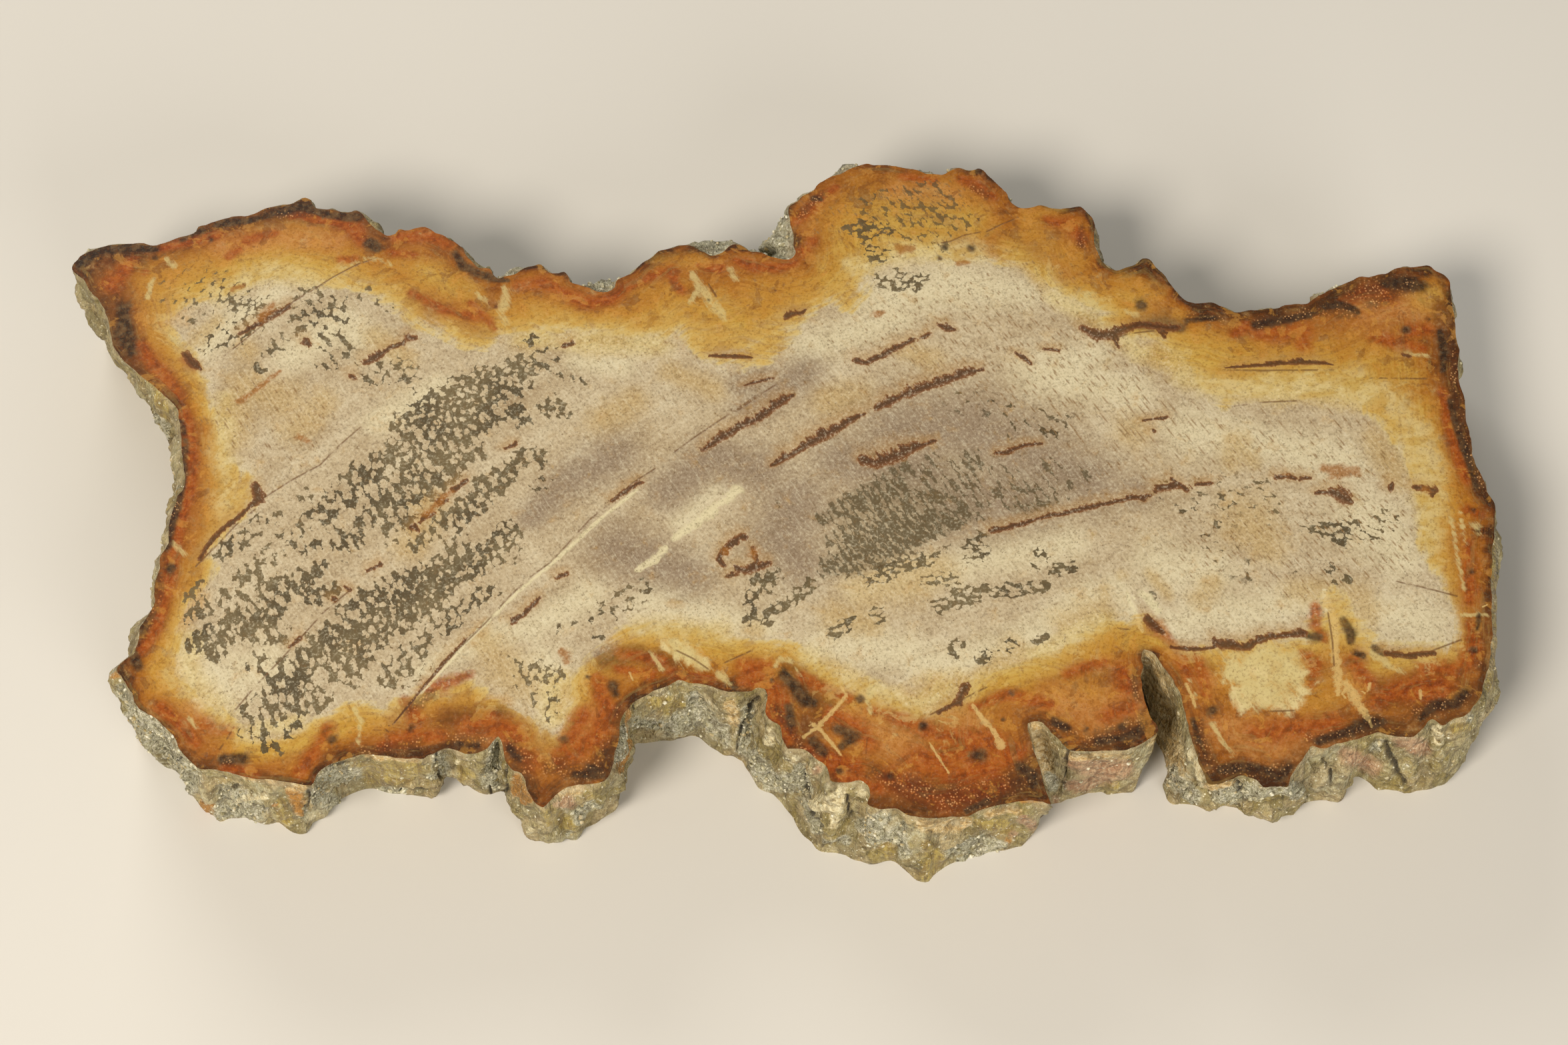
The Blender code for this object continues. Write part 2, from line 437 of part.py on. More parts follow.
def centred(rings):
    """The rings in metres, moved so that the middle of the bounding box is over the origin."""
    across = [point.x for ring in rings for point in ring]
    along = [point.y for ring in rings for point in ring]
    middle = Vector(((min(across) + max(across)) / 2, (min(along) + max(along)) / 2, 0.0))
    return [[(point - middle) * MM for point in ring] for ring in rings]


def finish_material():
    """Polished, silica-hardened wood."""
    material = bpy.data.materials.new("petrified_wood")
    material.use_nodes = True
    shader = material.node_tree.nodes["Principled BSDF"]
    shader.inputs["Base Color"].default_value = FINISH["color"]
    shader.inputs["Roughness"].default_value = FINISH["roughness"]
    shader.inputs["Metallic"].default_value = FINISH["metallic"]
    return material


def make_slab():
    """One closed solid: polished face, broken wall and sawn back."""
    measured = wall_rings()
    rings = centred(measured)
    sheet = bmesh.new()
    loops = [[sheet.verts.new(point) for point in ring] for ring in rings]
    count = len(loops[0])
    for upper, lower in zip(loops, loops[1:]):
        for index in range(count):
            after = (index + 1) % count
            sheet.faces.new((upper[index], upper[after], lower[after], lower[index]))
    for triangle in cap_triangles(measured[0]):
        sheet.faces.new([loops[0][corner] for corner in triangle])
    for triangle in cap_triangles(measured[-1]):
        sheet.faces.new([loops[-1][corner] for corner in reversed(triangle)])
    bmesh.ops.recalc_face_normals(sheet, faces=sheet.faces)
    mesh = bpy.data.meshes.new("petrified_wood_slice")
    sheet.to_mesh(mesh)
    sheet.free()
    mesh.materials.append(finish_material())
    slab = bpy.data.objects.new("petrified_wood_slice", mesh)
    bpy.context.collection.objects.link(slab)
    return slab


for old in list(bpy.data.objects):
    bpy.data.objects.remove(old, do_unlink=True)

make_slab()
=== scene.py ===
# Petrified wood slice: the look of the polished face, the broken wall and the sawn back.
# Marks on the slab are in mm, read on the polished face from a point near its middle.
import math

import bmesh
import bpy
import numpy as np
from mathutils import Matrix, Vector, noise
from mathutils.geometry import delaunay_2d_cdt


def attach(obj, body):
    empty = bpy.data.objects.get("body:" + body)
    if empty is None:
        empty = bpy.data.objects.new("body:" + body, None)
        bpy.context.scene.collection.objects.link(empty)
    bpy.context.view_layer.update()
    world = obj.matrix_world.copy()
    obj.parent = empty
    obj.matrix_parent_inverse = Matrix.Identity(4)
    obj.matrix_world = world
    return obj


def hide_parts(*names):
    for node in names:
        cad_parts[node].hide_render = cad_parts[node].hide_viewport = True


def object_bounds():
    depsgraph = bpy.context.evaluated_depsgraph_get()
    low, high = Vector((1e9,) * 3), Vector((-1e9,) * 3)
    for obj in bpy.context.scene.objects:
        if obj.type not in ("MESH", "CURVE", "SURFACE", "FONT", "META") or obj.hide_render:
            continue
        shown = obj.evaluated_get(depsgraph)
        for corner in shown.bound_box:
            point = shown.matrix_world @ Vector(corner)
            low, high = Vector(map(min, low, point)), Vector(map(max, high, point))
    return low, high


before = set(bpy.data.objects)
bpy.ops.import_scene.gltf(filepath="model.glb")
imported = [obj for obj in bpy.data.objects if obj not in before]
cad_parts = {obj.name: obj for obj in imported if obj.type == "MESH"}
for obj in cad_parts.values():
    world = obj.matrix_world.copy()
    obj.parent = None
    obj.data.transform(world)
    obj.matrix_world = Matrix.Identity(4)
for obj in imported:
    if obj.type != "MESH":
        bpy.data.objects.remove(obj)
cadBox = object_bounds()
scene = bpy.context.scene
print("frame loaded")


# a wire is a node's socket that takes part in sums
class Wire:
    def __init__(self, desk, socket):
        self.desk = desk
        self.socket = socket

    def maths(self, operation, *values):
        return self.desk.add("ShaderNodeMath", {"operation": operation}, dict(enumerate(values)))

    def __add__(self, other):
        return self.maths("ADD", self, other)

    def __radd__(self, other):
        return self.maths("ADD", other, self)

    def __sub__(self, other):
        return self.maths("SUBTRACT", self, other)

    def __rsub__(self, other):
        return self.maths("SUBTRACT", other, self)

    def __mul__(self, other):
        return self.maths("MULTIPLY", self, other)

    def __rmul__(self, other):
        return self.maths("MULTIPLY", other, self)

    def __rtruediv__(self, other):
        return self.maths("DIVIDE", other, self)

    def atLeast(self, other):
        return self.maths("MAXIMUM", self, other)

    def rise(self, low, high):  # 0 below low, 1 above high, eased between
        return self.desk.add("ShaderNodeMapRange", {"interpolation_type": "SMOOTHSTEP"},
                             {0: self, 1: low, 2: high, 3: 0.0, 4: 1.0})


class Desk:
    def __init__(self, tree):
        self.tree = tree
        self.attributes = {}

    def add(self, kind, settings=None, sockets=None, out=0):
        node = self.tree.nodes.new(kind)
        for name, value in (settings or {}).items():
            if name == "stops":
                setStops(node.color_ramp, value)
            else:
                setattr(node, name, value)
        for name, value in (sockets or {}).items():
            socket = node.inputs[name]
            if isinstance(value, Wire):
                self.tree.links.new(value.socket, socket)
            else:
                socket.default_value = value
        return Wire(self, node.outputs[out]) if node.outputs else None

    def blend(self, share, under, over):  # colours are wires or web codes
        under, over = (tint(side) if isinstance(side, str) else side for side in (under, over))
        return self.add("ShaderNodeMix", {"data_type": "RGBA"}, {0: share, 6: under, 7: over}, 2)

    def vector(self, operation, value, by):
        return self.add("ShaderNodeVectorMath", {"operation": operation}, {0: value, 1: by})

    def noise(self, where, size, detail=2.0, rough=0.5, warp=0.0):
        return self.add("ShaderNodeTexNoise", {}, {"Vector": where, "Scale": 1 / size, "Detail": detail,
                                                   "Roughness": rough, "Distortion": warp})

    def cells(self, where, size, feature="F1", spread=1.0):
        return self.add("ShaderNodeTexVoronoi", {"feature": feature},
                        {"Vector": where, "Scale": 1 / size, "Randomness": spread})

    def stretched(self, where, by):
        return self.vector("MULTIPLY", where, by)

    def place(self):  # where a point is on the object, in mm
        return self.stretched(self.add("ShaderNodeTexCoord", out="Object"), (1000, 1000, 1000))

    def ramp(self, share, *stops):  # colours along a number
        return self.add("ShaderNodeValToRGB", {"stops": [(at, tint(code)) for at, code in stops]}, {0: share})

    def field(self, name):  # a number painted on the mesh
        if name not in self.attributes:
            self.attributes[name] = self.add("ShaderNodeAttribute", {"attribute_name": name}, out=2)
        return self.attributes[name]

    def named(self, name, kind="FLOAT"):  # the same in Geometry Nodes
        return self.add("GeometryNodeInputNamedAttribute", {"data_type": kind}, {"Name": name})


def setStops(ramp, stops):
    while len(ramp.elements) < len(stops):
        ramp.elements.new(0.5)
    for element, (position, colour) in zip(ramp.elements, stops):
        element.position = position
        element.color = colour


def tint(code):  # web colour to linear light
    parts = [int(code[index:index + 2], 16) / 255 for index in (0, 2, 4)]
    linear = [part / 12.92 if part <= 0.04045 else ((part + 0.055) / 1.055) ** 2.4 for part in parts]
    return (*linear, 1.0)


def newMaterial(name):
    material = bpy.data.materials.new(name)
    material.use_nodes = True
    material.node_tree.nodes.clear()
    return material, Desk(material.node_tree)


def finishMaterial(desk, looks, bump=None, height=None):  # bump is its strength and distance in mm
    sockets = dict(looks)
    if bump:
        strength, distance = bump
        sockets["Normal"] = desk.add("ShaderNodeBump", {}, {
            "Strength": strength, "Distance": distance / 1000, "Height": height})
    shader = desk.add("ShaderNodeBsdfPrincipled", {}, sockets)
    desk.add("ShaderNodeOutputMaterial", {}, {"Surface": shader})


# the slab's shape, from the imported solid's own rings
slab = {
    "markOrigin": (2.1365, -10.1049),  # where the marks' zero lies in the frame, mm
    "thickness": 25.0,
    "columnStep": 0.72,                # mm between wall columns
    "rowStep": 0.74,                   # mm between wall rows
    "rimRows": (0.0, 0.2, 0.6),        # closer rows under the rim
    "wallRows": (1.2, 24.1),           # depths of the even rows, then one just above the foot
    "footGap": 0.4,
    "faceStep": 0.77,                  # mm between points of the polished face
    "faceLoose": 0.16,                 # how far they stray, in steps
    "backStep": 6.0,
    "backLoose": 0.2,
    "rimChip": 0.16,                   # mm, small chips of the polished edge
    "chipSize": 1.1,
    "chipDepth": 0.9,
    "seed": 7,
    "fibreSlant": math.radians(33),    # of the wood's fibres to the slab's length
    "creamReach": 6,                   # mm inside the cream for the band's share to rise by 1
}


def readRings(node):
    copy = bmesh.new()
    copy.from_mesh(node.data)
    bmesh.ops.remove_doubles(copy, verts=copy.verts, dist=1e-6)
    height = {vert: round(vert.co.z * 1000, 2) for vert in copy.verts}
    rings = []
    for level in sorted(set(height.values()), reverse=True):
        beside = {}
        for edge in copy.edges:
            one, two = edge.verts
            if height[one] != level or height[two] != level:
                continue
            if any(len({height[vert] for vert in face.verts}) > 1 for face in edge.link_faces):
                beside.setdefault(one, []).append(two)
                beside.setdefault(two, []).append(one)
        start = min(beside, key=lambda vert: vert.co.x)
        loop = [start]
        last, here = None, start
        while True:
            step = next(vert for vert in beside[here] if vert is not last)
            if step is start:
                break
            loop.append(step)
            last, here = here, step
        ring = np.array([vert.co for vert in loop]) * 1000
        x, y = ring[:, 0], ring[:, 1]
        if np.sum(x * np.roll(y, -1) - y * np.roll(x, -1)) > 0:  # all go round clockwise
            ring = ring[::-1]
        if rings:
            gaps = [np.sum((np.roll(ring, -shift, 0)[:, :2] - rings[-1][:, :2]) ** 2)
                    for shift in range(len(ring))]
            ring = np.roll(ring, -int(np.argmin(gaps)), 0)
        rings.append(ring)
    copy.free()
    return np.array(rings)


def throughPoints(knots, values, wanted):  # a smooth line through values, slopes from neighbours
    gaps = np.diff(knots)
    rises = np.diff(values, axis=0) / gaps[:, None]
    slopes = np.empty_like(values)
    weights = (gaps[1:] + gaps[:-1])[:, None]
    slopes[1:-1] = (rises[:-1] * gaps[1:, None] + rises[1:] * gaps[:-1, None]) / weights
    slopes[0], slopes[-1] = rises[0], rises[-1]
    at = np.clip(np.searchsorted(knots, wanted, side="right") - 1, 0, len(gaps) - 1)
    gap = gaps[at][:, None]
    share = (wanted - knots[at])[:, None] / gap
    rest = 1 - share
    return (values[at] * (1 + 2 * share) * rest**2 + values[at + 1] * share**2 * (3 - 2 * share)
            + slopes[at] * gap * share * rest**2 - slopes[at + 1] * gap * share**2 * rest)


def wallGrid(rings):  # rows from rim to foot, columns clockwise
    lengths = np.mean([np.hypot(*(np.roll(ring, -1, 0) - ring)[:, :2].T) for ring in rings], axis=0)
    knots = np.concatenate([[0], np.cumsum(lengths)])
    wanted = np.concatenate([start + gap * np.arange(parts) / parts for start, gap, parts in
                             zip(knots, lengths, np.ceil(lengths / slab["columnStep"]).astype(int))])
    pad = 3
    wide = np.concatenate([knots[-1 - pad:-1] - knots[-1], knots[:-1], knots[:pad + 1] + knots[-1]])
    fine = np.array([throughPoints(wide, np.concatenate([ring[-pad:], ring, ring[:pad + 1]]), wanted)
                     for ring in rings])
    depths = slab["thickness"] - rings[:, 0, 2]
    inner = np.arange(*slab["wallRows"], slab["rowStep"])
    foot = [slab["thickness"] - slab["footGap"], slab["thickness"]]
    rows = np.concatenate([slab["rimRows"], inner, foot])
    grid = throughPoints(depths, fine.reshape(len(rings), -1), rows).reshape(len(rows), -1, 3)
    grid[:, :, 2] = slab["thickness"] - rows[:, None]
    around = np.roll(grid, -1, 1) - np.roll(grid, 1, 1)
    out = np.stack([-around[..., 1], around[..., 0]], -1)
    out /= np.linalg.norm(out, axis=-1, keepdims=True)
    chips = np.array([noise.noise(Vector((x, y, 3.0)) / slab["chipSize"]) for x, y, _ in grid[0]])
    reach = np.exp(-rows / slab["chipDepth"])[:, None] * slab["rimChip"] * chips
    grid[..., :2] += out * reach[..., None]
    return grid


def insideOutline(points, outline):
    x, y = points.T
    inside = np.zeros(len(points), bool)
    for (ax, ay), (bx, by) in zip(outline, np.roll(outline, -1, 0)):
        crosses = (ay > y) != (by > y)
        if crosses.any():
            inside[crosses] ^= x[crosses] < (bx - ax) * (y[crosses] - ay) / (by - ay) + ax
    return inside


def nearestGap(points, line, closed=True):  # mm from each point to a line
    best = np.full(len(points), 1e9)
    ends = np.roll(line, -1, 0) if closed else line[1:]
    for start, end in zip(line, ends):
        along = end - start
        share = np.clip((points - start) @ along / max(along @ along, 1e-12), 0, 1)
        best = np.minimum(best, np.hypot(*(points - start - share[:, None] * along).T))
    return best


def fillRing(ring, step, jitter):  # points inside a ring and the triangles over all of them
    outline = ring[:, :2]
    low, high = outline.min(0), outline.max(0)
    chance = np.random.default_rng(slab["seed"])
    rows = np.arange(low[1], high[1], step * 0.866)
    spots = np.concatenate([np.stack([np.arange(low[0], high[0], step) + (index % 2) * step / 2,
                                      np.full(len(np.arange(low[0], high[0], step)), y)], 1)
                            for index, y in enumerate(rows)])
    spots += chance.uniform(-jitter, jitter, spots.shape) * step
    spots = spots[insideOutline(spots, outline)]
    spots = spots[nearestGap(spots, outline) > 0.55 * min(step, 0.9)]
    flat = [Vector(point) for point in np.concatenate([outline, spots])]
    count = len(outline)
    sides = [(index, (index + 1) % count) for index in range(count)]
    filled = delaunay_2d_cdt(flat, sides, [], 1, 1e-5)
    sources = filled[3]
    return spots, [[sources[corner][0] for corner in triangle] for triangle in filled[2]]


rings = readRings(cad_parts["petrified_wood_slice"])
wall = wallGrid(rings)
rowCount, columnCount = wall.shape[:2]
faceSpots, faceTriangles = fillRing(wall[0], slab["faceStep"], slab["faceLoose"])
backSpots, backTriangles = fillRing(wall[-1], slab["backStep"], slab["backLoose"])
print("slab points:", rowCount, "x", columnCount, "wall,", len(faceSpots), "face,", len(backSpots), "back")


def assembleSlab():
    wallPoints = wall.reshape(-1, 3)
    faceAt = len(wallPoints)
    backAt = faceAt + len(faceSpots)
    lift = np.full((len(faceSpots), 1), slab["thickness"])
    points = np.concatenate([wallPoints, np.hstack([faceSpots, lift]),
                             np.hstack([backSpots, np.zeros((len(backSpots), 1))])])
    faces, zones = [], []
    for row in range(rowCount - 1):
        here, below = row * columnCount, (row + 1) * columnCount
        for index in range(columnCount):
            after = (index + 1) % columnCount
            faces.append((here + index, here + after, below + after, below + index))
            zones.append(1)
    for triangle in faceTriangles:
        faces.append([c if c < columnCount else faceAt + c - columnCount for c in triangle])
        zones.append(0)
    foot = (rowCount - 1) * columnCount
    for triangle in backTriangles:
        faces.append([foot + c if c < columnCount else backAt + c - columnCount
                      for c in reversed(triangle)])
        zones.append(2)
    mesh = bpy.data.meshes.new("petrifiedSlab")
    mesh.from_pydata((points / 1000).tolist(), [], faces)
    mesh.attributes.new("zone", "INT", "FACE").data.foreach_set("value", zones)
    mesh.shade_smooth()
    sharp = np.zeros(len(mesh.edges), bool)
    for index, edge in enumerate(mesh.edges):
        one, two = sorted(edge.vertices)
        onRim = two < columnCount
        onFoot = one >= foot and two < faceAt
        sharp[index] = onRim or onFoot
    mesh.attributes.new("sharp_edge", "BOOLEAN", "EDGE").data.foreach_set("value", sharp)
    return mesh, points


slabMesh, slabPoints = assembleSlab()
print("slab mesh:", len(slabMesh.polygons), "faces")


# marks on the polished face: each stroke is (x, y, half-width) points in mm
creamEdge = [  # where the warm rim band gives way to the cream heart, clockwise from the left
    (-103, 34), (-106, 37), (-108, 40), (-105, 43), (-100, 44), (-96, 46), (-92, 49), (-87, 49),
    (-82, 46.5), (-79, 47.5), (-75, 46), (-70, 43), (-66, 39.5), (-61, 37), (-57, 34.5), (-52, 34),
    (-50, 37), (-46, 38), (-42, 37.5), (-38, 38), (-34, 37), (-29, 37.5), (-24, 37), (-19, 37),
    (-15, 33), (-10, 30), (-5, 30), (-1, 33), (2, 37), (4, 41), (8, 44), (12, 42), (15, 46),
    (17, 52), (22, 53.5), (29, 52.5), (35, 53), (39, 51.5), (43, 52), (46, 48.5), (48, 46.5),
    (51, 44), (56, 42), (57, 38), (61, 37), (66, 36.5), (69, 33), (72, 28), (74, 24.5), (76, 22.3),
    (79, 24.3), (86, 25), (94, 24.5), (99, 22), (103, 19), (106, 14), (107.5, 9), (108, 3),
    (107.6, -2), (107.5, -6), (109, -9), (110.5, -13), (112, -16), (112.6, -20), (111, -23.3),
    (105, -23.8), (101, -23.3), (98.5, -21.5), (96.8, -18), (95, -14), (92, -12), (89.7, -14),
    (88, -18), (86, -20.3), (80, -21), (76, -22.4), (72, -22.8), (67, -24), (64, -22),
    (62, -18.3), (60, -17.3), (57.5, -19.3), (54, -19.2), (51, -20), (47, -22.3), (44, -24),
    (40, -26), (36, -27.5), (32, -29), (29, -32), (25, -34.5), (21, -34), (17, -31.5), (14, -30),
    (10, -29), (6, -27), (3, -23.5), (1, -21.5), (-3, -22.2), (-8, -22), (-12, -20.5), (-17, -19),
    (-21, -19), (-26, -19.5), (-29, -21.5), (-32, -25), (-34, -27.5), (-35.5, -32), (-36.3, -37),
    (-37.5, -40.5), (-40, -37), (-44, -35), (-48, -32.5), (-51, -28), (-54, -28.3), (-58, -29.5),
    (-61, -31), (-64, -32.5), (-66, -35), (-70, -33), (-73, -34.5), (-77, -36.3), (-79, -38.5),
    (-82, -40.5), (-85, -41), (-88, -39.5), (-90, -37.7), (-92, -35), (-95, -34.3), (-98, -31.5),
    (-100, -29), (-100.6, -26), (-100, -23), (-101, -20), (-99.5, -16), (-97, -12), (-95.5, -9),
    (-97, -5.5), (-94, -1), (-91, 2), (-88.5, 5), (-91, 9), (-95.5, 12), (-97, 18), (-98.5, 23),
    (-100, 28), (-102, 31)]

growthLines = [  # growth rings seen on the face, with their distance across from the first, mm
    (0.0, [(-82, -66), (-72, -49), (-64, -37.3), (-58.5, -29), (-53, -22.5), (-46, -14), (-39.5, -7.7),
           (-33, 0.6), (-29, 4), (-24, 9), (-18.6, 14.2), (-12, 19.5), (-6, 24), (4, 30.5), (16, 36),
           (30, 41.5), (44, 45.5), (60, 49), (80, 51), (110, 52), (130, 52)]),
    (-8.5, [(-70, -66), (-60, -49), (-50, -32), (-38, -16), (-25, -9), (-19, -5), (-14, 0), (-8, 6),
            (-2, 11), (5, 16), (12, 20.4), (20, 25), (27, 27.7), (34.5, 30.4), (48, 34.5), (60, 37),
            (80, 39), (110, 40), (130, 40)]),
    (-26.0, [(-52, -66), (-38, -49), (-24, -34), (-10, -24), (2, -14), (10, -9.5), (20, -6), (36, -1.5),
             (43, 0.8), (57, 4.4), (72, 7.6), (86, 8.8), (100, 8.5), (130, 8)]),
    (-52.0, [(-20, -66), (-8, -52), (2, -40), (14, -31), (30, -26), (50, -21), (71, -22), (90, -24),
             (110, -24), (130, -24)]),
    (30.0, [(-120, -66), (-112, -45), (-101, -11), (-94, -1), (-88.5, 5), (-78, 13), (-73, 19), (-66, 25),
            (-52, 34), (-40, 42), (-24, 50), (-6, 58), (20, 66), (50, 74), (80, 78), (130, 80)]),
    (50.0, [(-140, -30), (-118, 8), (-99, 33), (-94, 38.5), (-88, 43), (-75, 52), (-60, 60), (-40, 68),
            (-10, 80), (40, 92), (130, 100)]),
]

